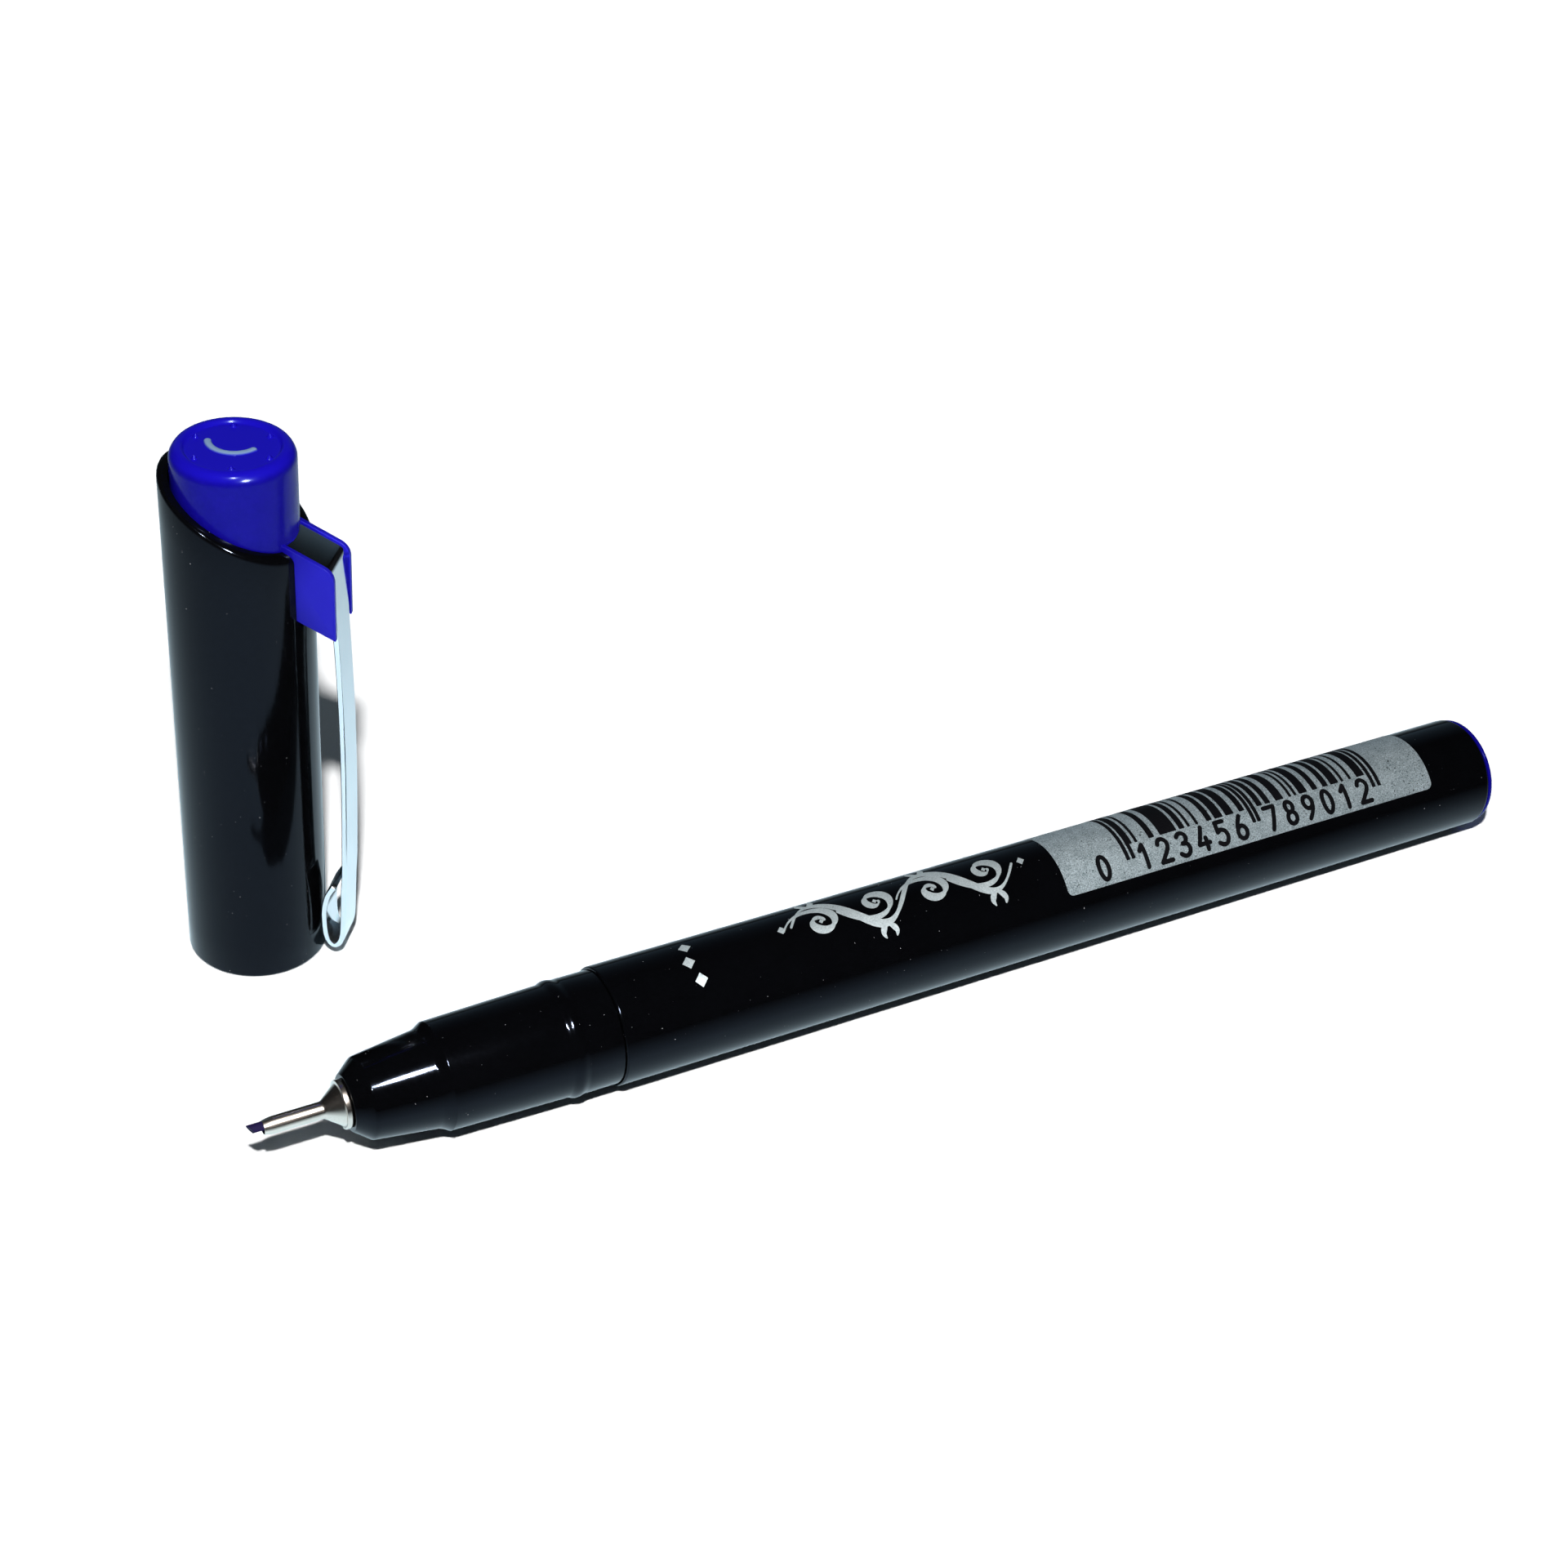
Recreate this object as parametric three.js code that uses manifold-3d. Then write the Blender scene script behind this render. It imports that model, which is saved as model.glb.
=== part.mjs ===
// Chisel-tip calligraphy pen, lying beside its cap, which stands on its open mouth.
// Units are millimetres. +X runs from the nib to the tail of the pen and +Z is up.
// Pen pieces are placed by their station: 0 at the barrel's front edge, negative towards the nib.
// Cap pieces are placed by their height above the cap's mouth, with +X pointing at the clip.
import * as THREE from "three";
import { mergeVertices } from "three/addons/utils/BufferGeometryUtils.js";
import Module from "manifold-3d";

const wasm = await Module();
wasm.setup();

// Fits and facets
const PRESS_FIT = 0.05; // radial gap between a piece and the bore that grips it
const LOOSE_FIT = 0.1; // radial gap round a piece that only lies in its bore
const SEAT_GAP = 0.08; // gap between two faces that meet
const SIDES = 60; // facets round the barrel, the section and the cap
const SMALL_SIDES = 30; // facets round the reservoir, the liner and the metal tip
const FINE_SIDES = 20; // facets round the nib

// Barrel
const BARREL_RADIUS = 5;
const BARREL_WALL = 0.9;
const BARREL_LENGTH = 87.4;
const BARREL_ROUND = 0.3;
const RIB_COUNT = 6;
const RIB_WIDTH = 0.6;
const RIB_HEIGHT = 0.6;
const RIB_END_ROOM = 1; // from a rib's end to the spigot or the plug

// Tail plug
const PLUG_INSET = 0.13; // how far its rim stays inside the barrel's outer surface
const PLUG_RIM = 0.85;
const PLUG_UNDERCUT = 0.15; // rounding of the rim's edge next to the barrel
const PLUG_ROUND = 0.4; // rounding of the rim's outer edge
const PLUG_CROWN = 0.2;
const PLUG_DEPTH = 8;
const PLUG_WALL = 0.9;
const PLUG_BARB = 0.04; // how far its ring stands out towards the barrel's bore
const PLUG_BARB_RAMP = 0.6;
const PLUG_BARB_BACK = 0.1;

// Front section, from the barrel to the nib
const SPIGOT_LENGTH = 9;
const SPIGOT_LEAD = 0.4;
const SEAT_LENGTH = 2.4;
const SEAT_STEP = 0.23; // how far the cap's seat lies below the barrel's outer surface
const BEAD_HEIGHT = 0.11; // how far the snap bead stands above the seat
const BEAD_WIDTH = 1.6;
const GRIP_LENGTH = 10.4;
const GRIP_STEP = 0.09; // how far the grip's rear end lies below the seat
const GRIP_TAPER = 0.22; // loss of radius along the grip
const STEP_LENGTH = 0.93;
const STEP_DEPTH = 0.44; // loss of radius at the step between grip and nose
const STEP_HOLLOW = 1.4; // above 1 the step is hollowed
const NOSE_LENGTH = 5.22;
const NOSE_TAPER = 0.64; // loss of radius along the nose
const CHAMFER_LENGTH = 1.32;
const CHAMFER_DEPTH = 0.85; // loss of radius at the chamfer
const FUNNEL_LENGTH = 3;
const RESERVOIR_INSIDE = 2.2; // how far behind the grip's front end the reservoir starts
const RESERVOIR_LEDGE = 0.6; // width of the ring that the reservoir's front rests on
const VENT_WIDTH = 0.4;

// Nib
const NIB_RADIUS = 0.52;
const NIB_SHOWN = 1.2; // length in front of the ferrule
const NIB_IN_RESERVOIR = 4.5;
const NIB_FLAT_BELOW_AXIS = 0.2;
const NIB_FLAT_LENGTH = 2.1;
const NIB_BEVEL = THREE.MathUtils.degToRad(57); // between the end's slope and the pen's axis
const NIB_TURN = THREE.MathUtils.degToRad(-45); // how the chisel lies, seen along the pen

// Nib ferrule
const FERRULE_RADIUS = 0.7;
const FERRULE_TUBE = 4.5;
const FERRULE_MOUTH = 0.3;
const FERRULE_CONE = 1.4;
const FERRULE_CONE_RADIUS = 1.72;
const FERRULE_FLANGE_RADIUS = 2;
const FERRULE_FLANGE = 0.45;
const FLANGE_EDGE = 0.1;
const FERRULE_STEM_RADIUS = 1.1;
const FERRULE_STEM = 4.4;

// Ink reservoir
const WRAP_THICKNESS = 0.15;

// Cap tube
const CAP_WALL = 0.85;
const BEAD_ROOM = 0.07; // radial gap between the section's bead and the cap
const CAP_ROUND = 0.25;
const CUT_HEIGHT = 42.98; // the oblique cut's height on the cap's axis
const CUT_SLOPE = THREE.MathUtils.degToRad(28.6);
const SNAP_RING_GRIP = 0.05; // how much smaller than the bead the ring is
const SNAP_RING_WIDTH = 0.8;
const SLOT_MARGIN = 1; // how far the slot's cutter reaches past the wall, on both sides

// Cap insert: the coloured head, its skirt inside the tube and the bracket for the clip
const HEAD_HEIGHT = 47.72;
const HEAD_ROUND = 0.5;
const HEAD_RIM = 0.9;
const HEAD_DISH = 0.3;
const PIP_COUNT = 6;
const PIP_RING = 3;
const PIP_RADIUS = 0.28;
const PIP_HEIGHT = 0.15;
const PIP_START = THREE.MathUtils.degToRad(-13); // from the clip's direction
const INSERT_WALL = 0.9;
const INSERT_TOP = 1.3;
const SKIRT_HEIGHT = 26;
const CHEEK = 0.55;
const BRACKET_TOP = 40.4; // where the cheeks' top edge passes the tube's outer surface
const BRACKET_HEIGHT = 6.25;
const BRACKET_REACH = 2.63; // how far the cheeks stand out from the tube
const BRACKET_SLOPE = THREE.MathUtils.degToRad(24.5);
const BRACKET_ROUND = 1;

// Cap liner
const LINER_WALL = 0.45;
const LINER_MOUTH_HEIGHT = 15.7;
const LINER_BELL = 2.2;
const LINER_ROOM = 2.6; // free length between the nib's tip and the liner's end

// Clip
const CLIP_WIDTH = 3;
const CLIP_THICKNESS = 0.47;
const CLIP_EDGE = 0.12;
const CLIP_SIDE_GAP = 0.15;
const CLIP_SINK = 0.42; // how far its upper plate lies below the cheeks' top edge
const CLIP_BEND_REACH = 2.31; // from the tube to the outer corner where the plate turns down
const CLIP_BEND_RADIUS = 0.5;
const CLIP_TONGUE_HOOK = 0.5; // how far the tongue goes past the insert's wall
const CLIP_BLADE_END = 9.3;
const CLIP_BLADE_REACH = 2.7; // from the tube to the blade's outer face at its lower end
const CLIP_BOW = 0.36;
const ROLL_TIP_GAP = 0.34;
const ROLL_BOTTOM = 0.95;
const ROLL_RISE = 6.45;
const ROLL_STEPS = 4;
const ROLL_TURN = [[0.95, 0.68], [0.82, 0.25], [0.44, 0], [0.03, 0.24], [0.08, 0.64], [0.5, 1]]; // across, up

// Where the cap stands, from the barrel's front edge, and which way its clip points
const CAP_X = -19;
const CAP_Y = 27.76;
const CLIP_DIRECTION = THREE.MathUtils.degToRad(-38.7);

// Values that follow from the ones above
const BARREL_BORE = BARREL_RADIUS - BARREL_WALL;
const PLUG_STUB_RADIUS = BARREL_BORE - PRESS_FIT - PLUG_BARB;
const RESERVOIR_SOCKET = BARREL_BORE - RIB_HEIGHT;
const WRAP_RADIUS = RESERVOIR_SOCKET - LOOSE_FIT;
const RESERVOIR_RADIUS = WRAP_RADIUS - WRAP_THICKNESS - PRESS_FIT;
const SEAT_RADIUS = BARREL_RADIUS - SEAT_STEP;
const BEAD_RADIUS = SEAT_RADIUS + BEAD_HEIGHT;
const GRIP_REAR_RADIUS = SEAT_RADIUS - GRIP_STEP;
const GRIP_FRONT_RADIUS = GRIP_REAR_RADIUS - GRIP_TAPER;
const NOSE_REAR_RADIUS = GRIP_FRONT_RADIUS - STEP_DEPTH;
const NOSE_FRONT_RADIUS = NOSE_REAR_RADIUS - NOSE_TAPER;
const FACE_RADIUS = NOSE_FRONT_RADIUS - CHAMFER_DEPTH;
const BEAD_START = -SEAT_LENGTH - BEAD_WIDTH;
const GRIP_FRONT = BEAD_START - GRIP_LENGTH;
const NOSE_REAR = GRIP_FRONT - STEP_LENGTH;
const NOSE_FRONT = NOSE_REAR - NOSE_LENGTH;
const SECTION_FACE = NOSE_FRONT - CHAMFER_LENGTH;
const RESERVOIR_STOP = GRIP_FRONT + RESERVOIR_INSIDE;
const RESERVOIR_FRONT = RESERVOIR_STOP + SEAT_GAP;
const RESERVOIR_REAR = BARREL_LENGTH - PLUG_DEPTH - SEAT_GAP;
const STEM_END = SECTION_FACE + FERRULE_STEM;
const FLANGE_BACK = SECTION_FACE - SEAT_GAP;
const CONE_REAR = FLANGE_BACK - FERRULE_FLANGE;
const TUBE_REAR = CONE_REAR - FERRULE_CONE;
const FERRULE_FRONT = TUBE_REAR - FERRULE_TUBE - FERRULE_MOUTH;
const NIB_TIP = FERRULE_FRONT - NIB_SHOWN;
const NIB_REAR = RESERVOIR_FRONT + NIB_IN_RESERVOIR;
const CAP_BORE = BEAD_RADIUS + BEAD_ROOM;
const CAP_RADIUS = CAP_BORE + CAP_WALL;
const INSERT_RADIUS = CAP_BORE - 2 * LOOSE_FIT;
const INSERT_BORE = INSERT_RADIUS - INSERT_WALL;
const LINER_RADIUS = INSERT_BORE - PRESS_FIT;
const LINER_BELL_RADIUS = CAP_BORE - 3 * LOOSE_FIT;
const LINER_TOP = -NIB_TIP + LINER_ROOM + LINER_WALL;
const BRACKET_INNER = CLIP_WIDTH / 2 + CLIP_SIDE_GAP;
const BRACKET_OUTER = BRACKET_INNER + CHEEK;
const BRACKET_EDGE = CAP_RADIUS + BRACKET_REACH;
const AXIS_HEIGHT = BARREL_RADIUS * Math.cos(Math.PI / SIDES);

/** A closed solid made from a three.js geometry, ready to be cut and joined. */
function solidFrom(geometry) {
  const bare = geometry.clone();
  bare.deleteAttribute("normal");
  bare.deleteAttribute("uv");
  const merged = mergeVertices(bare, 1e-5);
  const corners = merged.index.array;
  const kept = [];
  for (let i = 0; i < corners.length; i += 3) {
    const [a, b, c] = corners.slice(i, i + 3);
    if (a !== b && b !== c && c !== a) kept.push(a, b, c);
  }
  const mesh = new wasm.Mesh({
    numProp: 3,
    vertProperties: merged.attributes.position.array,
    triVerts: new Uint32Array(kept),
  });
  return new wasm.Manifold(mesh);
}

/** The three.js geometry of a cut or joined solid. */
function geometryFrom(solid) {
  const mesh = solid.getMesh();
  const geometry = new THREE.BufferGeometry();
  geometry.setAttribute("position", new THREE.BufferAttribute(mesh.vertProperties, 3));
  geometry.setIndex(new THREE.BufferAttribute(mesh.triVerts, 1));
  geometry.computeVertexNormals();
  return geometry;
}

/** A solid turned about +Z from [height, radius] pairs; a facet, not an edge, faces -X. */
function turned(profile, sides) {
  const points = profile.map(([height, radius]) => new THREE.Vector2(radius, height));
  const lathe = new THREE.LatheGeometry(points, sides, Math.PI / sides);
  return solidFrom(lathe.rotateX(Math.PI / 2));
}

/** The same solid laid along +X, with a facet facing down. */
function turnedAlongPen(profile, sides) {
  const points = profile.map(([station, radius]) => new THREE.Vector2(radius, station));
  const lathe = new THREE.LatheGeometry(points, sides, Math.PI / sides);
  return solidFrom(lathe.rotateZ(-Math.PI / 2));
}

/** Points of an arc as [along, across] pairs, from one angle to another, in degrees. */
function arc(along, across, radius, from, to, steps) {
  return Array.from({ length: steps + 1 }, (_, i) => {
    const angle = THREE.MathUtils.degToRad(from + ((to - from) * i) / steps);
    return [along + radius * Math.cos(angle), across + radius * Math.sin(angle)];
  });
}

/** Evenly spaced fractions from 0 to 1, both included. */
function fractions(steps) {
  return Array.from({ length: steps + 1 }, (_, i) => i / steps);
}

/** A profile that returns to its first point. */
function closed(profile) {
  return [...profile, profile[0]];
}

/** A plate seen from the side: an outline of [reach, height] pairs, as wide as stated, centred on y. */
function plate(outline, width, y = 0) {
  const shape = new THREE.Shape(outline.map(([reach, height]) => new THREE.Vector2(reach, height)));
  const slab = new THREE.ExtrudeGeometry(shape, { depth: width, bevelEnabled: false });
  return solidFrom(slab.rotateX(Math.PI / 2).translate(0, y + width / 2, 0));
}

/** A box from its size and centre. */
function block(size, centre) {
  return solidFrom(new THREE.BoxGeometry(...size).translate(...centre));
}

/** A named sub-part with its own finish. */
function piece(name, solid, finish) {
  const mesh = new THREE.Mesh(geometryFrom(solid), new THREE.MeshStandardMaterial(finish));
  mesh.name = name;
  return mesh;
}

const BLACK_PLASTIC = { color: 0x0b0c10, roughness: 0.22, metalness: 0 };
const BLUE_PLASTIC = { color: 0x1a12a8, roughness: 0.3, metalness: 0 };
const PLATED_METAL = { color: 0xd9dcdc, roughness: 0.12, metalness: 1 };
const INKED_FIBRE = { color: 0x1d0b45, roughness: 0.8, metalness: 0 };
const WHITE_FIBRE = { color: 0xd8d8e6, roughness: 0.9, metalness: 0 };
const CLEAR_FILM = { color: 0xe8ecee, roughness: 0.2, metalness: 0 };
const MILKY_PLASTIC = { color: 0xe4e6e2, roughness: 0.45, metalness: 0 };

/** The straight black tube, with rounded ends and inner ribs that centre the reservoir. */
function makeBarrel() {
  const profile = closed([
    [0, BARREL_BORE],
    ...arc(BARREL_ROUND / 2, BARREL_RADIUS - BARREL_ROUND / 2, BARREL_ROUND / 2, 180, 90, 3),
    ...arc(BARREL_LENGTH - BARREL_ROUND, BARREL_RADIUS - BARREL_ROUND, BARREL_ROUND, 90, 0, 4),
    [BARREL_LENGTH, BARREL_BORE],
  ]);
  const ribStart = SPIGOT_LENGTH + RIB_END_ROOM;
  const ribEnd = BARREL_LENGTH - PLUG_DEPTH - RIB_END_ROOM;
  const ribRoot = BARREL_BORE + BARREL_WALL / 2;
  const rib = block(
    [ribEnd - ribStart, RIB_WIDTH, ribRoot - RESERVOIR_SOCKET],
    [(ribStart + ribEnd) / 2, 0, (RESERVOIR_SOCKET + ribRoot) / 2],
  );
  let barrel = turnedAlongPen(profile, SIDES);
  for (let i = 0; i < RIB_COUNT; i++) barrel = barrel.add(rib.rotate([(360 * i) / RIB_COUNT, 0, 0]));
  return piece("barrel", barrel, BLACK_PLASTIC);
}

/** The blue stopper pressed into the tail: a low crown outside and a barbed hollow stub inside. */
function makeTailPlug() {
  const rim = BARREL_RADIUS - PLUG_INSET;
  const back = BARREL_LENGTH + SEAT_GAP;
  const stubEnd = BARREL_LENGTH - PLUG_DEPTH;
  const barbAt = (back + stubEnd) / 2;
  const profile = [
    [back, 0],
    [back, PLUG_STUB_RADIUS - PLUG_WALL],
    [stubEnd, PLUG_STUB_RADIUS - PLUG_WALL],
    [stubEnd, PLUG_STUB_RADIUS - PLUG_WALL / 2],
    [stubEnd + PLUG_WALL / 2, PLUG_STUB_RADIUS],
    [barbAt - PLUG_BARB_RAMP, PLUG_STUB_RADIUS],
    [barbAt, PLUG_STUB_RADIUS + PLUG_BARB],
    [barbAt + PLUG_BARB_BACK, PLUG_STUB_RADIUS],
    [back, PLUG_STUB_RADIUS],
    ...arc(back + PLUG_UNDERCUT, rim - PLUG_UNDERCUT, PLUG_UNDERCUT, 180, 90, 2),
    ...arc(back + PLUG_RIM - PLUG_ROUND, rim - PLUG_ROUND, PLUG_ROUND, 90, 15, 4),
    ...fractions(2).slice(1).map((t) => [
      back + PLUG_RIM + PLUG_CROWN * (1 - (1 - t) ** 2),
      (rim - PLUG_ROUND) * (1 - t),
    ]),
  ];
  return piece("tail_plug", turnedAlongPen(profile, SIDES), BLUE_PLASTIC);
}

/** The grip: chamfered nose, hollowed step, long taper, snap bead, cap seat and hollow spigot. */
function makeFrontSection() {
  const spigotRadius = BARREL_BORE - PRESS_FIT;
  const stemBore = FERRULE_STEM_RADIUS + PRESS_FIT;
  const nibBore = NIB_RADIUS + LOOSE_FIT;
  const step = fractions(4).map((t) => [
    NOSE_REAR + t * STEP_LENGTH,
    NOSE_REAR_RADIUS + (GRIP_FRONT_RADIUS - NOSE_REAR_RADIUS) * t ** STEP_HOLLOW,
  ]);
  const bead = fractions(8).map((t) => {
    const under = THREE.MathUtils.lerp(GRIP_REAR_RADIUS, SEAT_RADIUS, t);
    return [BEAD_START + t * BEAD_WIDTH, under + (BEAD_RADIUS - under) * Math.sin(Math.PI * t) ** 2];
  });
  const profile = closed([
    [SECTION_FACE, stemBore],
    [SECTION_FACE, FACE_RADIUS],
    [NOSE_FRONT, NOSE_FRONT_RADIUS],
    ...step,
    ...bead,
    [-SEAT_GAP, SEAT_RADIUS],
    [-SEAT_GAP, spigotRadius],
    [SPIGOT_LENGTH - SPIGOT_LEAD, spigotRadius],
    [SPIGOT_LENGTH, spigotRadius - SPIGOT_LEAD / 2],
    [SPIGOT_LENGTH, RESERVOIR_SOCKET],
    [RESERVOIR_STOP, RESERVOIR_SOCKET],
    [RESERVOIR_STOP, RESERVOIR_RADIUS - RESERVOIR_LEDGE],
    [RESERVOIR_STOP - FUNNEL_LENGTH, nibBore],
    [STEM_END + SEAT_GAP, nibBore],
    [STEM_END + SEAT_GAP, stemBore],
  ]);
  const ventLength = RESERVOIR_STOP - FUNNEL_LENGTH / 2 - SECTION_FACE;
  const vent = block(
    [2 * ventLength, VENT_WIDTH, stemBore + VENT_WIDTH],
    [SECTION_FACE, 0, (stemBore + VENT_WIDTH) / 2],
  );
  const section = turnedAlongPen(profile, SIDES).subtract(vent);
  return piece("front_section", section, BLACK_PLASTIC);
}

/** The plated ferrule: a stem in the nose, a flange on its face, a cone and a slim tube. */
function makeFerrule() {
  const bore = NIB_RADIUS + PRESS_FIT;
  const profile = closed([
    [FERRULE_FRONT, bore],
    ...arc(FERRULE_FRONT + FERRULE_MOUTH, FERRULE_RADIUS - FERRULE_MOUTH / 2, FERRULE_MOUTH / 2, 180, 90, 2),
    [TUBE_REAR, FERRULE_RADIUS],
    [CONE_REAR, FERRULE_CONE_RADIUS],
    [CONE_REAR, FERRULE_FLANGE_RADIUS - FLANGE_EDGE],
    [CONE_REAR + FLANGE_EDGE, FERRULE_FLANGE_RADIUS],
    [FLANGE_BACK - FLANGE_EDGE, FERRULE_FLANGE_RADIUS],
    [FLANGE_BACK, FERRULE_FLANGE_RADIUS - FLANGE_EDGE],
    [FLANGE_BACK, FERRULE_STEM_RADIUS],
    [STEM_END - FLANGE_EDGE, FERRULE_STEM_RADIUS],
    [STEM_END, FERRULE_STEM_RADIUS - FLANGE_EDGE],
    [STEM_END, bore],
  ]);
  return piece("nib_ferrule", turnedAlongPen(profile, SMALL_SIDES), PLATED_METAL);
}

/** The fibre nib: a round rod, planed flat underneath where it shows and cut to a sloping chisel. */
function makeNib() {
  const rod = turnedAlongPen(
    [
      [NIB_TIP, 0],
      [NIB_TIP, NIB_RADIUS],
      [NIB_REAR - NIB_RADIUS, NIB_RADIUS],
      [NIB_REAR, NIB_RADIUS / 2],
      [NIB_REAR, 0],
    ],
    FINE_SIDES,
  );
  const reach = 3 * NIB_RADIUS;
  const slope = 1 / Math.tan(NIB_BEVEL);
  const flat = plate(
    [
      [NIB_TIP - reach, -reach],
      [NIB_TIP + NIB_FLAT_LENGTH, -reach],
      [NIB_TIP + NIB_FLAT_LENGTH, -NIB_RADIUS],
      [NIB_TIP + NIB_FLAT_LENGTH - NIB_RADIUS, -NIB_FLAT_BELOW_AXIS],
      [NIB_TIP - reach, -NIB_FLAT_BELOW_AXIS],
    ],
    2 * reach,
  );
  const bevel = plate(
    [
      [NIB_TIP, NIB_RADIUS],
      [NIB_TIP - reach, NIB_RADIUS],
      [NIB_TIP - reach, -reach],
      [NIB_TIP + (NIB_RADIUS + reach) * slope, -reach],
    ],
    2 * reach,
  );
  const nib = rod.subtract(flat).subtract(bevel);
  const mesh = piece("nib", nib, INKED_FIBRE);
  mesh.rotation.x = NIB_TURN;
  return mesh;
}

/** The ink-soaked fibre rod, with the hole that the nib's rear end pierces. */
function makeReservoir() {
  const hole = NIB_RADIUS + LOOSE_FIT;
  const profile = [
    [NIB_REAR + SEAT_GAP, 0],
    [NIB_REAR + SEAT_GAP, hole],
    [RESERVOIR_FRONT, hole],
    [RESERVOIR_FRONT, RESERVOIR_RADIUS],
    [RESERVOIR_REAR, RESERVOIR_RADIUS],
    [RESERVOIR_REAR, 0],
  ];
  return piece("ink_reservoir", turnedAlongPen(profile, SMALL_SIDES), WHITE_FIBRE);
}

/** The film sleeve round the reservoir, open at both ends. */
function makeReservoirWrap() {
  const inner = RESERVOIR_RADIUS + PRESS_FIT;
  const profile = closed([
    [RESERVOIR_FRONT, inner],
    [RESERVOIR_FRONT, WRAP_RADIUS],
    [RESERVOIR_REAR, WRAP_RADIUS],
    [RESERVOIR_REAR, inner],
  ]);
  return piece("reservoir_wrap", turnedAlongPen(profile, SMALL_SIDES), CLEAR_FILM);
}

/** Height of the cheeks' top edge at a reach from the cap's axis. */
function bracketTopAt(reach) {
  return BRACKET_TOP - (reach - CAP_RADIUS) * Math.tan(BRACKET_SLOPE);
}

/** Height of the clip's upper plate, at the middle of its thickness, at a reach from the axis. */
function clipPlateAt(reach) {
  return bracketTopAt(reach) - CLIP_SINK - CLIP_THICKNESS / 2 / Math.cos(BRACKET_SLOPE);
}

/** The black tube: open below with a snap ring inside, cut obliquely above, slotted for the bracket. */
function makeCapTube() {
  const rawTop = CUT_HEIGHT + 2 * CAP_RADIUS * Math.tan(CUT_SLOPE);
  const ringRadius = BEAD_RADIUS - SNAP_RING_GRIP;
  const ringAt = SEAT_LENGTH - SNAP_RING_WIDTH / 2;
  const profile = closed([
    [rawTop, CAP_BORE],
    [ringAt + SNAP_RING_WIDTH / 2, CAP_BORE],
    [ringAt, ringRadius],
    [ringAt - SNAP_RING_WIDTH / 2, CAP_BORE],
    [CAP_ROUND, CAP_BORE],
    [0, CAP_BORE + CAP_ROUND],
    ...arc(CAP_ROUND, CAP_RADIUS - CAP_ROUND, CAP_ROUND, 180, 90, 3),
    [rawTop, CAP_RADIUS],
  ]);
  const above = 4 * CAP_RADIUS;
  const cutter = solidFrom(
    new THREE.BoxGeometry(2 * above, above, above)
      .translate(0, 0, above / 2)
      .rotateY(CUT_SLOPE)
      .translate(0, 0, CUT_HEIGHT),
  );
  const slotInside = CAP_BORE - SLOT_MARGIN;
  const slotOutside = CAP_RADIUS + SLOT_MARGIN;
  const slotFloor = (reach) => bracketTopAt(reach) - BRACKET_HEIGHT - LOOSE_FIT;
  const slot = plate(
    [
      [slotInside, slotFloor(slotInside)],
      [slotOutside, slotFloor(slotOutside)],
      [slotOutside, rawTop],
      [slotInside, rawTop],
    ],
    2 * (BRACKET_OUTER + LOOSE_FIT),
  );
  const tube = turned(profile, SIDES).subtract(cutter).subtract(slot);
  return piece("cap_tube", tube, BLACK_PLASTIC);
}

/** The dished head on its hollow skirt, turned, with a ring of small pips. */
function insertBody() {
  const dishEdge = INSERT_RADIUS - HEAD_RIM;
  const dishFloor = HEAD_HEIGHT - HEAD_DISH;
  const profile = [
    [dishFloor - INSERT_TOP, 0],
    [dishFloor - INSERT_TOP, INSERT_BORE],
    [SKIRT_HEIGHT, INSERT_BORE],
    [SKIRT_HEIGHT, INSERT_RADIUS - INSERT_WALL / 3],
    [SKIRT_HEIGHT + INSERT_WALL / 2, INSERT_RADIUS],
    ...arc(HEAD_HEIGHT - HEAD_ROUND, INSERT_RADIUS - HEAD_ROUND, HEAD_ROUND, 90, 0, 4),
    ...fractions(4).map((t) => [
      HEAD_HEIGHT - HEAD_DISH * (1 - Math.cos(Math.PI * t)) / 2,
      dishEdge - t * HEAD_DISH,
    ]),
    [dishFloor, 0],
  ];
  let body = turned(profile, SIDES);
  for (let i = 0; i < PIP_COUNT; i++) {
    const angle = PIP_START + (2 * Math.PI * i) / PIP_COUNT;
    const pip = new THREE.SphereGeometry(PIP_RADIUS, 8, 6)
      .scale(1, 1, PIP_HEIGHT / PIP_RADIUS)
      .translate(PIP_RING * Math.cos(angle), PIP_RING * Math.sin(angle), dishFloor);
    body = body.add(solidFrom(pip));
  }
  return body;
}

/** One cheek of the bracket, seen from the side, with its outer corners rounded. */
function cheekOutline() {
  const inner = INSERT_BORE;
  const top = bracketTopAt(BRACKET_EDGE);
  const fall = THREE.MathUtils.radToDeg(BRACKET_SLOPE);
  const back = BRACKET_ROUND * Math.tan((Math.PI / 2 - BRACKET_SLOPE) / 2);
  const cornerHeight = top - back;
  return [
    [inner, bracketTopAt(inner) - BRACKET_HEIGHT],
    [BRACKET_EDGE, top - BRACKET_HEIGHT],
    ...arc(BRACKET_EDGE - BRACKET_ROUND, cornerHeight, BRACKET_ROUND, 0, 90 - fall, 5),
    [inner, bracketTopAt(inner)],
  ];
}

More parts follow.
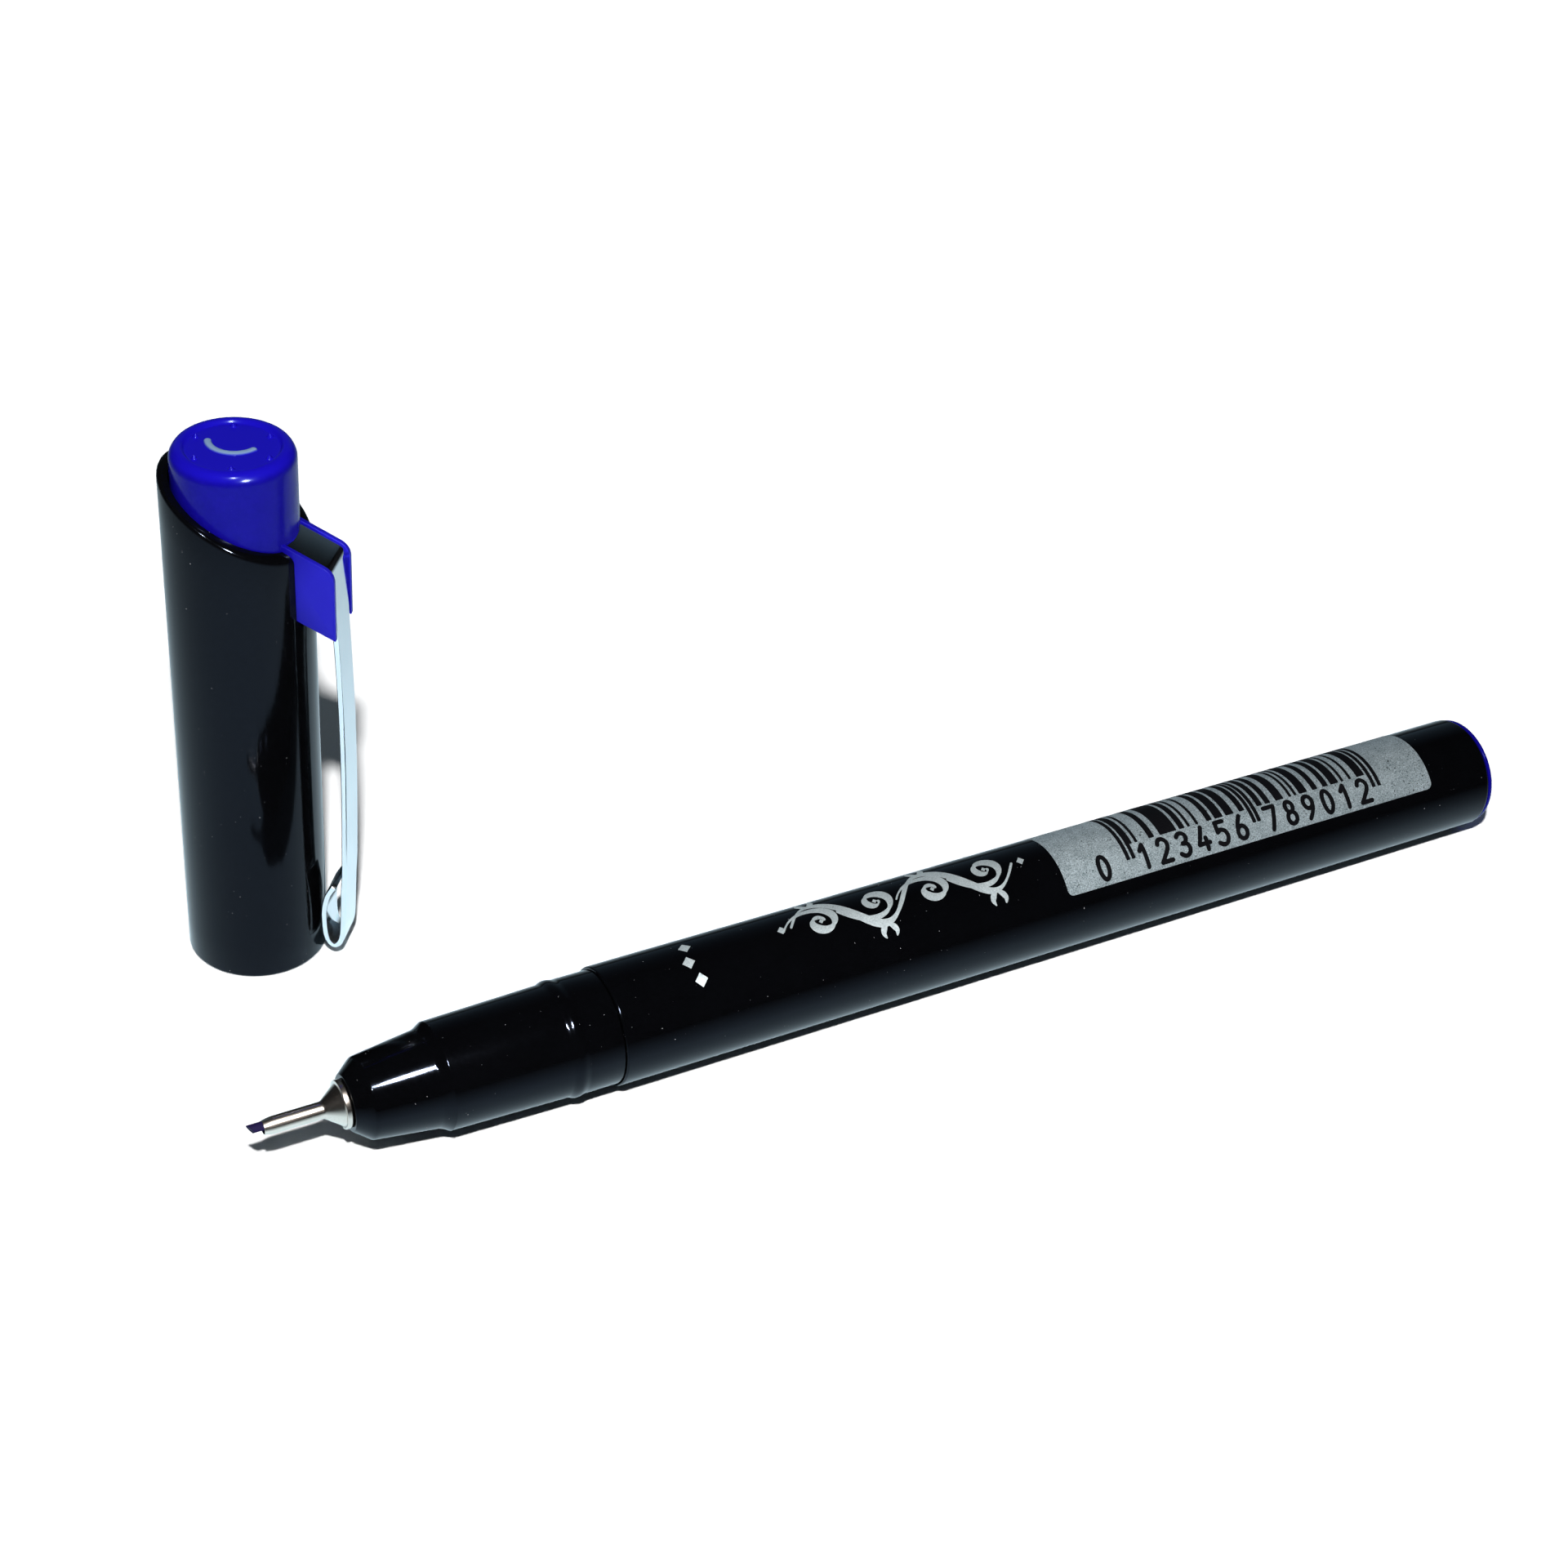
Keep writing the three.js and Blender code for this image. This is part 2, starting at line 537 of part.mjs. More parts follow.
/** The coloured insert: head, skirt, and the two cheeks and web that carry the clip. */
function makeCapInsert() {
  const tongueGap = CLIP_SIDE_GAP + CLIP_THICKNESS / 2;
  const webInner = INSERT_RADIUS - INSERT_WALL / 2;
  const webOuter = CAP_RADIUS + CLIP_BEND_REACH - CLIP_THICKNESS - 2 * CLIP_SIDE_GAP;
  const webTop = (reach) => clipPlateAt(reach) - tongueGap / Math.cos(BRACKET_SLOPE);
  const web = plate(
    [
      [webInner, bracketTopAt(webInner) - BRACKET_HEIGHT],
      [webOuter, bracketTopAt(webOuter) - BRACKET_HEIGHT],
      [webOuter, webTop(webOuter)],
      [webInner, webTop(webInner)],
    ],
    2 * BRACKET_INNER + CHEEK,
  );
  const pocketInner = INSERT_BORE - INSERT_WALL;
  const pocketOuter = CAP_RADIUS;
  const pocket = plate(
    [
      [pocketInner, clipPlateAt(pocketInner) - tongueGap],
      [pocketOuter, clipPlateAt(pocketOuter) - tongueGap],
      [pocketOuter, clipPlateAt(pocketOuter) + tongueGap],
      [pocketInner, clipPlateAt(pocketInner) + tongueGap],
    ],
    2 * BRACKET_INNER,
  );
  let insert = insertBody().subtract(pocket).add(web);
  for (const side of [-1, 1]) {
    insert = insert.add(plate(cheekOutline(), CHEEK, side * (BRACKET_INNER + CHEEK / 2)));
  }
  return piece("cap_insert", insert, BLUE_PLASTIC);
}

/** The soft inner cup that seals on the nose: belled at its mouth, closed above the nib. */
function makeCapLiner() {
  const bellTop = LINER_MOUTH_HEIGHT + LINER_BELL;
  const bore = LINER_RADIUS - LINER_WALL;
  const profile = [
    [LINER_TOP - LINER_WALL, 0],
    [LINER_TOP - LINER_WALL, bore],
    [bellTop + LINER_BELL, bore],
    [LINER_MOUTH_HEIGHT, NOSE_REAR_RADIUS + PRESS_FIT],
    [LINER_MOUTH_HEIGHT, LINER_BELL_RADIUS],
    [bellTop, LINER_BELL_RADIUS],
    [bellTop + LINER_WALL, LINER_RADIUS],
    [LINER_TOP - LINER_WALL / 2, LINER_RADIUS],
    [LINER_TOP, LINER_RADIUS - LINER_WALL / 2],
    [LINER_TOP, 0],
  ];
  return piece("cap_liner", turned(profile, SMALL_SIDES), MILKY_PLASTIC);
}

/** The middle line of the clip's strip, from the tongue inside the head to the free end of the roll. */
function clipPath() {
  const half = CLIP_THICKNESS / 2;
  const turn = Math.PI / 2 - BRACKET_SLOPE;
  const tongueEnd = INSERT_BORE - CLIP_TONGUE_HOOK;
  const bladeTop = CAP_RADIUS + CLIP_BEND_REACH - half;
  const bendCentre = bladeTop - CLIP_BEND_RADIUS;
  const cornerBack = CLIP_BEND_RADIUS * Math.tan(turn / 2);
  const bendHeight = clipPlateAt(bladeTop) - cornerBack;
  const bend = arc(bendCentre, bendHeight, CLIP_BEND_RADIUS, THREE.MathUtils.radToDeg(turn), 0, 4);
  const bladeBottom = CAP_RADIUS + CLIP_BLADE_REACH - half;
  const blade = fractions(14).slice(1).map((t) => [
    THREE.MathUtils.lerp(bladeTop, bladeBottom, t) + CLIP_BOW * Math.sin(Math.PI * t),
    THREE.MathUtils.lerp(bendHeight, CLIP_BLADE_END, t),
  ]);
  const rollInner = CAP_RADIUS + ROLL_TIP_GAP + half;
  const rollLow = ROLL_BOTTOM + half;
  const rollWidth = bladeBottom - rollInner;
  const rollAt = (across, up) => new THREE.Vector2(rollInner + across * rollWidth, rollLow + up * ROLL_RISE);
  const roll = new THREE.SplineCurve([
    new THREE.Vector2(...blade.at(-2)),
    new THREE.Vector2(...blade.at(-1)),
    ...ROLL_TURN.map(([across, up]) => rollAt(across, up)),
  ]);
  const rollPoints = roll.getPoints((ROLL_TURN.length + 1) * ROLL_STEPS).slice(ROLL_STEPS + 1);
  return [[tongueEnd, clipPlateAt(tongueEnd)], ...bend, ...blade, ...rollPoints.map((p) => [p.x, p.y])];
}

/** A strip with bevelled edges, swept along a path of [reach, height] pairs in the plane y = 0. */
function sweptStrip(path, width, thickness, edge) {
  const w = width / 2;
  const t = thickness / 2;
  const section = [
    [-w + edge, -t],
    [w - edge, -t],
    [w, -t + edge],
    [w, t - edge],
    [w - edge, t],
    [-w + edge, t],
    [-w, t - edge],
    [-w, -t + edge],
  ];
  const count = section.length;
  const positions = [];
  path.forEach(([reach, height], i) => {
    const before = path[Math.max(i - 1, 0)];
    const after = path[Math.min(i + 1, path.length - 1)];
    const along = new THREE.Vector2(after[0] - before[0], after[1] - before[1]).normalize();
    for (const [across, out] of section) {
      positions.push(reach - along.y * out, across, height + along.x * out);
    }
  });
  const faces = [];
  for (let ring = 0; ring < path.length - 1; ring++) {
    for (let k = 0; k < count; k++) {
      const a = ring * count + k;
      const b = ring * count + ((k + 1) % count);
      faces.push(a, b, b + count, a, b + count, a + count);
    }
  }
  const last = (path.length - 1) * count;
  for (let k = 1; k < count - 1; k++) {
    faces.push(0, k + 1, k);
    faces.push(last, last + k, last + k + 1);
  }
  const strip = new THREE.BufferGeometry();
  strip.setAttribute("position", new THREE.Float32BufferAttribute(positions, 3));
  strip.setIndex(faces);
  return strip;
}

/** The spring clip: one strip bent over at the top and rolled into an eye at its lower end. */
function makeClip() {
  const strip = sweptStrip(clipPath(), CLIP_WIDTH, CLIP_THICKNESS, CLIP_EDGE);
  return piece("clip", solidFrom(strip), PLATED_METAL);
}

/** The pen, lying on one facet of its barrel. */
function makePen() {
  const pen = new THREE.Group();
  pen.position.z = AXIS_HEIGHT;
  pen.add(
    makeBarrel(),
    makeTailPlug(),
    makeFrontSection(),
    makeFerrule(),
    makeNib(),
    makeReservoir(),
    makeReservoirWrap(),
  );
  return pen;
}

/** The cap, standing on its mouth beside the nose. */
function makeCap() {
  const cap = new THREE.Group();
  cap.position.set(CAP_X, CAP_Y, 0);
  cap.rotation.z = CLIP_DIRECTION;
  cap.add(makeCapTube(), makeCapInsert(), makeCapLiner(), makeClip());
  return cap;
}

/** Pen and cap together, moved so that the origin is below the middle of their common box. */
function makeAssembly() {
  const assembly = new THREE.Group();
  assembly.add(makePen(), makeCap());
  assembly.updateMatrixWorld(true);
  const box = new THREE.Box3().setFromObject(assembly, true);
  const middle = box.getCenter(new THREE.Vector3());
  assembly.position.set(-middle.x, -middle.y, -box.min.z);
  return assembly;
}

export default makeAssembly();
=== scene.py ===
"""Chisel-tip calligraphy pen lying beside its standing cap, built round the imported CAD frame.

Sizes are in millimetres until a mesh is written, which is in metres. A place on the pen is a
station, 0 at the barrel's front edge and growing towards the tail, a distance from the axis, and
the angle phi round it, 0 on the camera's side and 90 degrees on top. A place on the cap is a
height above its mouth, a distance from its axis, and the angle theta round it, 0 at the clip.
"""

from __future__ import annotations

import logging
import math
from collections.abc import Callable, Sequence
from dataclasses import dataclass, field, replace
from enum import Enum

import bpy
import numpy as np
from mathutils import Matrix, Vector

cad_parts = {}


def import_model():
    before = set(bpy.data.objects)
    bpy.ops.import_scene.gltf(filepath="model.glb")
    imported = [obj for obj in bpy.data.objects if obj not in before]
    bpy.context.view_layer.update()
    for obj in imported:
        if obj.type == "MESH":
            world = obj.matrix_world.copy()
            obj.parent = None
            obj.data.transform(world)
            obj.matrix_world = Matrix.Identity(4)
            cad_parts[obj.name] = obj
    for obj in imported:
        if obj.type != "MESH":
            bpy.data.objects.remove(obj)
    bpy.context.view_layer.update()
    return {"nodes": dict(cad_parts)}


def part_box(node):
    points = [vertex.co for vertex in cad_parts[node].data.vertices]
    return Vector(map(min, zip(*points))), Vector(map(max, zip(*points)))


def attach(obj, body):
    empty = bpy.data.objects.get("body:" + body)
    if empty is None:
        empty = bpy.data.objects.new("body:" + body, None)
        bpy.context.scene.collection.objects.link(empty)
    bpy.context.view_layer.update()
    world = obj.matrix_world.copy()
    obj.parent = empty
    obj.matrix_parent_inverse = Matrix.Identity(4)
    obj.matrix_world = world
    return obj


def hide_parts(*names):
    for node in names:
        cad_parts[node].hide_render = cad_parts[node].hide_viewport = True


LOG = logging.getLogger("pen")
Array = np.ndarray
Object = bpy.types.Object
Socket = bpy.types.NodeSocket
Colour = tuple[float, float, float]
Point = tuple[float, float]
Corner = tuple[float, float, float]
Shape = Callable[[Array, Array, Array], tuple[Array, Array]]

MM = 0.001
TURN = 2 * math.pi
SIDES = 240  # facets round the barrel and the tube
FINE = 160  # facets round the ferrule and the sealing cup
MERGE = 1e-7  # vertices closer than this, in millimetres, become one
PRINT_SINK = 0.01  # how deep the underside of the printing lies in the plastic
PRINT_STEP = 0.001  # how far a stroke lies above the one that it crosses
NOISE_SPAN = (0.3, 0.7)  # where nearly all of the fractal noise lies
SPECK_EDGE = 0.015  # of noise, over which a speck fades in
SHARP = 32.0  # degrees between two faces, above which their edge shows
ON_WALL = 0.01  # how close to a wall a point counts as on it
ON_FLOOR = 0.02  # how close to the dish's floor a point counts as on it
CLIP_BEARING = math.radians(-38.7)  # where the clip points, from +X
PAINTED_THIN_GLOW = "thin"  # the attribute that is 1 on the cheeks outside the tube, painted lighter blue as the light that comes through their thin wall
PAINTED_TOP_LIGHT = "crown"  # the attribute that is 1 on the head's top, painted lighter blue as light falling on it
MARK_PALE_AND_HIGHLIGHT = "mark_pale_and_highlight"  # the attribute that is 1 on the gate mark, painted pale: partly its own colour, partly a painted highlight


class Body(Enum):
    """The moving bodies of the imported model."""

    PEN = "pen"
    CAP = "cap"
    CLIP = "clip"


class Slot(Enum):
    """The material slots of the record."""

    BLACK_PLASTIC = "black_plastic"
    BLUE_PLASTIC = "blue_plastic"
    PLATED_METAL = "plated_metal"
    INKED_FIBRE = "inked_fibre"
    WHITE_FIBRE = "white_fibre"
    CLEAR_FILM = "clear_film"
    MILKY_PLASTIC = "milky_plastic"
    SILVER_PRINT = "silver_print"
    BLACK_PRINT = "black_print"


# Shapes


def smooth_step(low: float, high: float, value: Array) -> Array:
    """Rises from 0 at low to 1 at high as 3t² - 2t³, where t is the fraction between them."""
    t = np.clip((value - low) / (high - low), 0.0, 1.0)
    return t * t * (3.0 - 2.0 * t)


def rounded(corners: Sequence[Corner], steps: int = 6) -> Array:
    """Rounds the corners of a closed line in a plane.

    Each corner gives way to the quadratic Bezier curve that starts and ends its own reach away
    from it along its two edges, with the corner as the middle control point.

    Args:
        corners: the x, y and reach of each corner; reach 0 keeps it sharp.
        steps: pieces of each curve.

    Returns:
        The points of the rounded line, two columns.
    """
    table = np.array(corners, float)
    corner, reach = table[:, :2], table[:, 2:]
    sides = []
    for neighbour in (1, -1):
        edge = np.roll(corner, neighbour, axis=0) - corner
        sides.append(corner + edge / np.linalg.norm(edge, axis=1, keepdims=True) * reach)
    start, middle, end = sides[0][:, None], corner[:, None], sides[1][:, None]
    t = np.linspace(0.0, 1.0, steps + 1)[None, :, None]
    line = ((1 - t) ** 2 * start + 2 * t * (1 - t) * middle + t**2 * end).reshape(-1, 2)
    return line[np.linalg.norm(line - np.roll(line, 1, axis=0), axis=1) > 1e-6]


def spline(points: Sequence[Point] | Array, steps: int) -> Array:
    """The uniform Catmull-Rom curve through the points.

    Between two points the curve is a cubic whose slope at each is half the step between that
    point's neighbours; beyond the ends the end point is repeated.

    Args:
        points: what the curve passes through.
        steps: pieces between two points.

    Returns:
        The points of the curve.
    """
    knots = np.array(points, float)
    padded = np.concatenate([knots[:1], knots, knots[-1:]])
    a, b, c, d = (padded[i : len(padded) - 3 + i, None] for i in range(4))
    t = (np.arange(steps) / steps)[None, :, None]
    slope_b, slope_c = (c - a) / 2, (d - b) / 2
    cubic = (2 * b - 2 * c + slope_b + slope_c) * t**3
    curve = cubic + (3 * c - 3 * b - 2 * slope_b - slope_c) * t**2 + slope_b * t + b
    return np.concatenate([curve.reshape(-1, 2), knots[-1:]])


def quads(index: Array) -> Array:
    """The four-cornered faces over a grid of vertex numbers."""
    corners = [index[:-1, :-1], index[1:, :-1], index[1:, 1:], index[:-1, 1:]]
    return np.stack(corners, axis=-1).reshape(-1, 4)


def added(name: str, data: bpy.types.ID) -> Object:
    """A new object, linked to the scene.

    Args:
        name: the object's name.
        data: its mesh, lamp or camera.

    Returns:
        The object.
    """
    made = bpy.data.objects.new(name, data)
    bpy.context.scene.collection.objects.link(made)
    return made


def shade(mesh: bpy.types.Mesh, sharp: float) -> None:
    """Makes a mesh smooth but for the edges that turn by more than so many degrees."""
    mesh.shade_smooth()
    mesh.set_sharp_from_angle(angle=math.radians(sharp))


@dataclass(frozen=True)
class Axis:
    """An axis that pieces are turned about, with the directions of its angles 0 and 90."""

    origin: Array
    along: Array
    zero: Array
    quarter: Array

    def turn(self, along: Array, radius: Array, angle: Array) -> Array:
        """Places cylinder coordinates: origin + along·a + radius·(cos·zero + sin·quarter)."""
        return self.place(radius * np.cos(angle), radius * np.sin(angle), along)

    def place(self, zero: Array, quarter: Array, along: Array) -> Array:
        """Places rectangular coordinates given along the three directions."""
        z, q, a = (part[..., None] for part in np.broadcast_arrays(zero, quarter, along))
        return self.origin + z * self.zero + q * self.quarter + a * self.along


@dataclass(frozen=True)
class Surface:
    """A closed surface of faces with three or four corners."""

    vertices: Array
    corners: Array

    @classmethod
    def grid(cls, points: Array, ring: bool = False) -> Surface:
        """The surface over a grid of points whose last column joins its first.

        Rows whose points all coincide close the surface as poles, and rows that are folded
        flat close it along a line. Faces are turned to point outwards.

        Args:
            points: rows × columns × 3.
            ring: whether the last row joins the first too.

        Returns:
            The surface.
        """
        index = np.arange(points[..., 0].size).reshape(points.shape[:2])
        corners = quads(np.pad(index, ((0, int(ring)), (0, 1)), mode="wrap"))
        flat = points.reshape(-1, 3)
        keys = np.round(flat / MERGE).astype(np.int64)
        _, first, back = np.unique(keys, axis=0, return_index=True, return_inverse=True)
        vertices, corners = flat[first], back.reshape(-1)[corners]
        a, b, c, d = (vertices[corners[:, i]] - vertices[0] for i in range(4))
        volume = np.sum(a * np.cross(b, c)) + np.sum(a * np.cross(c, d))
        return cls(vertices, corners if volume > 0 else corners[:, ::-1])

    @classmethod
    def joined(cls, parts: Sequence[Surface]) -> Surface:
        """Several closed surfaces as one.

        Args:
            parts: the surfaces.

        Returns:
            The joined surface.
        """
        starts = np.cumsum([0] + [len(part.vertices) for part in parts[:-1]])
        corners = [part.corners + start for part, start in zip(parts, starts)]
        return cls(np.concatenate([part.vertices for part in parts]), np.concatenate(corners))

    def object(self, name: str, sharp: float = SHARP) -> Object:
        """Writes the surface to a smooth mesh, in metres, whose sharper edges stay sharp.

        Args:
            name: the object's name.
            sharp: the angle in degrees above which an edge shows.

        Returns:
            The object, linked to the scene, at the origin.
        """
        keep = self.corners != np.roll(self.corners, 1, axis=1)
        whole = keep.sum(axis=1) >= 3
        used, loops = np.unique(self.corners[whole][keep[whole]], return_inverse=True)
        counts = keep[whole].sum(axis=1)
        mesh = bpy.data.meshes.new(name)
        mesh.vertices.add(len(used))
        mesh.vertices.foreach_set("co", (self.vertices[used] * MM).astype(np.float32).ravel())
        mesh.loops.add(len(loops))
        mesh.loops.foreach_set("vertex_index", loops.reshape(-1).astype(np.int32))
        mesh.polygons.add(len(counts))
        mesh.polygons.foreach_set("loop_start", (np.cumsum(counts) - counts).astype(np.int32))
        mesh.update(calc_edges=True)
        mesh.validate()
        shade(mesh, sharp)
        return added(name, mesh)


def turned(
    axis: Axis, profile: Array, sides: int = SIDES, ring: bool = True, shape: Shape | None = None
) -> Surface:
    """Turns a profile about an axis: its point (a, r) goes to a along the axis and r from it.

    Args:
        axis: the axis.
        profile: rows of distance along the axis and radius.
        sides: facets round the axis.
        ring: whether the profile is closed; if not, its ends lie on the axis.
        shape: moves (a, r) by the angle before it is placed.

    Returns:
        The closed surface.
    """
    angle = np.arange(sides)[None] * TURN / sides
    along, radius = (np.repeat(column[:, None], sides, axis=1) for column in profile.T)
    if shape is not None:
        along, radius = shape(along, radius, angle)
    return Surface.grid(axis.turn(along, radius, angle), ring)


def plate(axis: Axis, outline: Array, width: float, centre: float, edge: float) -> Surface:
    """A flat plate with rounded edges that stands in a plane through an axis.

    The outline is repeated across the width. Near each face it shrinks along its own inward
    normals by edge·(1 - sin u) while it moves edge·(1 - cos u) inwards, u from 0 to 90 degrees,
    and each face is closed at the outline's middle.

    Args:
        axis: what the outline's distances are measured from.
        outline: rows of distance from the axis and height.
        width: the plate's thickness.
        centre: how far its middle lies from the plane through the axis.
        edge: the rounding.

    Returns:
        The closed surface.
    """
    tangent = np.roll(outline, -1, axis=0) - np.roll(outline, 1, axis=0)
    tangent /= np.linalg.norm(tangent, axis=1, keepdims=True)
    inward = np.stack([-tangent[:, 1], tangent[:, 0]], axis=1)
    middle = outline.mean(axis=0)
    inward *= np.sign(np.sum(inward * (middle - outline)))
    u = np.linspace(0, math.pi / 2, 5)
    shrink, offset = edge * (1 - np.sin(u)), width / 2 - edge * (1 - np.cos(u))
    shrink = np.concatenate([shrink, shrink[::-1]])
    offset = np.pad(np.concatenate([-offset, offset[::-1]]), 1, mode="edge") + centre
    face = np.repeat(middle[None, None], len(outline), axis=1)
    rings = np.concatenate([face, outline + inward * shrink[:, None, None], face])
    return Surface.grid(axis.place(rings[..., 0], offset[:, None], rings[..., 1]))


def swept(axis: Axis, path: Array, width: Array, thickness: float, edge: float) -> Surface:
    """A strip with rounded edges carried along a path in a plane through an axis.

    The section is a rounded rectangle. It stands square on the step that leads to its point of
    the path, and at both ends it shrinks onto the path over the length of the rounding.

    Args:
        axis: what the path's distances are measured from.
        path: rows of distance from the axis and height.
        width: the strip's width across the plane, at each row.
        thickness: its thickness, in the plane.
        edge: the rounding of its edges.

    Returns:
        The closed surface.
    """
    w, t = float(width.max()) / 2, thickness / 2
    section = rounded([(-w, -t, edge), (w, -t, edge), (w, t, edge), (-w, t, edge)], 5)
    shrunk = np.array([0.0, 0.72, 0.93])
    setback = edge * np.array([0.0, 0.06, 0.35])[:, None]
    steps = np.diff(path, axis=0)
    ahead = np.concatenate([steps[:1], steps])
    ahead /= np.linalg.norm(ahead, axis=1, keepdims=True)
    first, last = path[:1] - ahead[:1] * edge, path[-1:] + ahead[-1:] * edge
    size = np.concatenate([shrunk, np.ones(len(path)), shrunk[::-1]])
    share = size * (np.pad(width, len(shrunk), mode="edge") / (2 * w))
    path = np.concatenate([first + ahead[:1] * setback, path, (last - ahead[-1:] * setback)[::-1]])
    ahead = np.pad(ahead, ((len(shrunk),) * 2, (0, 0)), mode="edge")
    across, out = section[:, 0] * share[:, None], section[:, 1] * size[:, None]
    reach, height = path[:, :1] - ahead[:, 1:] * out, path[:, 1:] + ahead[:, :1] * out
    return Surface.grid(axis.place(reach, across, height))


# Finishes


class Graph:
    """The nodes that a finish or the surroundings are written in."""

    def __init__(self, block: bpy.types.Material | bpy.types.World) -> None:
        """Empties the node tree of a material or world and keeps it.

        Args:
            block: the material or the world.
        """
        block.use_nodes = True
        self.tree = block.node_tree
        self.tree.nodes.clear()

    def node(
        self, kind: str, inputs: dict[str | int, object], output: str | int = 0, **settings: object
    ) -> Socket | None:
        """Adds a node.

        Args:
            kind: the node's type, without its ShaderNode prefix.
            inputs: for each socket a value, or the output that is linked to it.
            output: which of its own outputs is wanted.
            settings: the node's own properties.

        Returns:
            That output, or None for a node without outputs.
        """
        made = self.tree.nodes.new("ShaderNode" + kind)
        for name, value in settings.items():
            setattr(made, name, value)
        for key, value in inputs.items():
            socket = made.inputs[key]
            if isinstance(value, Socket):
                self.tree.links.new(value, socket)
            else:
                socket.default_value = (*value, 1.0) if socket.type == "RGBA" else value
        return made.outputs[output] if len(made.outputs) else None

    def math(self, operation: str, a: object, b: object) -> Socket:
        """The result of a Math node."""
        return self.node("Math", {0: a, 1: b}, operation=operation)

    def ranged(
        self, value: Socket, low: float, high: float, to_low: float = 0.0, to_high: float = 1.0
    ) -> Socket:
        """A value carried from one range to another, and held within it."""
        return self.node("MapRange", {0: value, 1: low, 2: high, 3: to_low, 4: to_high})

    def mixed(self, amount: Socket, a: object, b: object) -> Socket:
        """A colour between a and b."""
        return self.node("Mix", {0: amount, 6: a, 7: b}, 2, data_type="RGBA")

    def noise(self, place: Socket, scale: float, detail: float) -> Socket:
        """Fractal noise, 0 to 1, about 1/scale metres from crest to crest."""
        inputs = {"Vector": place, "Scale": scale, "Detail": detail, "Roughness": 0.55}
        return self.node("TexNoise", inputs, "Fac")

    def rays(self) -> tuple[Socket, Socket]:
        """Outputs that are 1 for the camera's rays, and for mirrored and refracted ones.

        Returns:
            Both outputs.
        """
        kinds = ("Is Camera Ray", "Is Glossy Ray", "Is Transmission Ray")
        camera, glossy, bent = (self.node("LightPath", {}, kind) for kind in kinds)
        return camera, self.math("MAXIMUM", glossy, bent)


@dataclass(frozen=True)
class Finish:
    """A finish made of a base, a slow mottle, a fine grain and sparse specks.

    The colour runs from dark to light with the mottle and the grain, specks replace it where a
    very fine noise peaks, the roughness follows the grain, and the surface is raised by it. The
    name differs from the slot's, because the frame has a plain material of that name.
    """

    name: str
    slot: Slot
    dark: Colour
    light: Colour
    roughness: tuple[float, float]
    grain: float  # crests per metre
    raised: float  # height of the grain, in millimetres
    mottle: float = 260.0  # crests per metre
    stretch: tuple[float, float, float] = (1.0, 1.0, 1.0)
    grain_share: float = 0.5
    speck: Colour = (0.2, 0.2, 0.2)
    speck_scale: float = 5200.0
    speck_level: float = 0.81  # noise above this is a speck
    metallic: float = 0.0
    specular: float = 0.5
    sheen: Colour = (1.0, 1.0, 1.0)  # of the reflection at right angles
    alpha: float = 1.0
    marked: tuple[tuple[str, Colour], ...] = ()  # attributes, and the colours where they are 1

    def material(self) -> bpy.types.Material:
        """The node material of the finish, made once.

        Returns:
            The material.
        """
        known = bpy.data.materials.get(self.name)
        if known is not None:
            return known
        made = bpy.data.materials.new(self.name)
        graph = Graph(made)
        place = graph.node("TexCoord", {}, "Object")
        drawn = graph.node("Mapping", {"Vector": place, "Scale": self.stretch})
        fine, slow = graph.noise(drawn, self.grain, 2.0), graph.noise(place, self.mottle, 4.0)
        grainy = graph.math("MULTIPLY", fine, self.grain_share)
        share = graph.math("ADD", grainy, graph.math("MULTIPLY", slow, 1 - self.grain_share))
        base = graph.mixed(graph.ranged(share, *NOISE_SPAN), self.dark, self.light)
        for mark, colour in self.marked:
            amount = graph.node("Attribute", {}, "Fac", attribute_name=mark)
            base = graph.mixed(amount, base, colour)
        level, dust = self.speck_level, graph.noise(place, self.speck_scale, 1.0)
        dust = graph.ranged(dust, level, level + SPECK_EDGE)
        inputs = {
            "Base Color": graph.mixed(dust, base, self.speck),
            "Roughness": graph.ranged(share, *NOISE_SPAN, *self.roughness),
            "Metallic": self.metallic,
            "Specular IOR Level": self.specular,
            "Specular Tint": self.sheen,
            "Alpha": self.alpha,
            "Normal": graph.node("Bump", {"Distance": self.raised * MM, "Height": fine}),
        }
        graph.node("OutputMaterial", {"Surface": graph.node("BsdfPrincipled", inputs)})
        return made


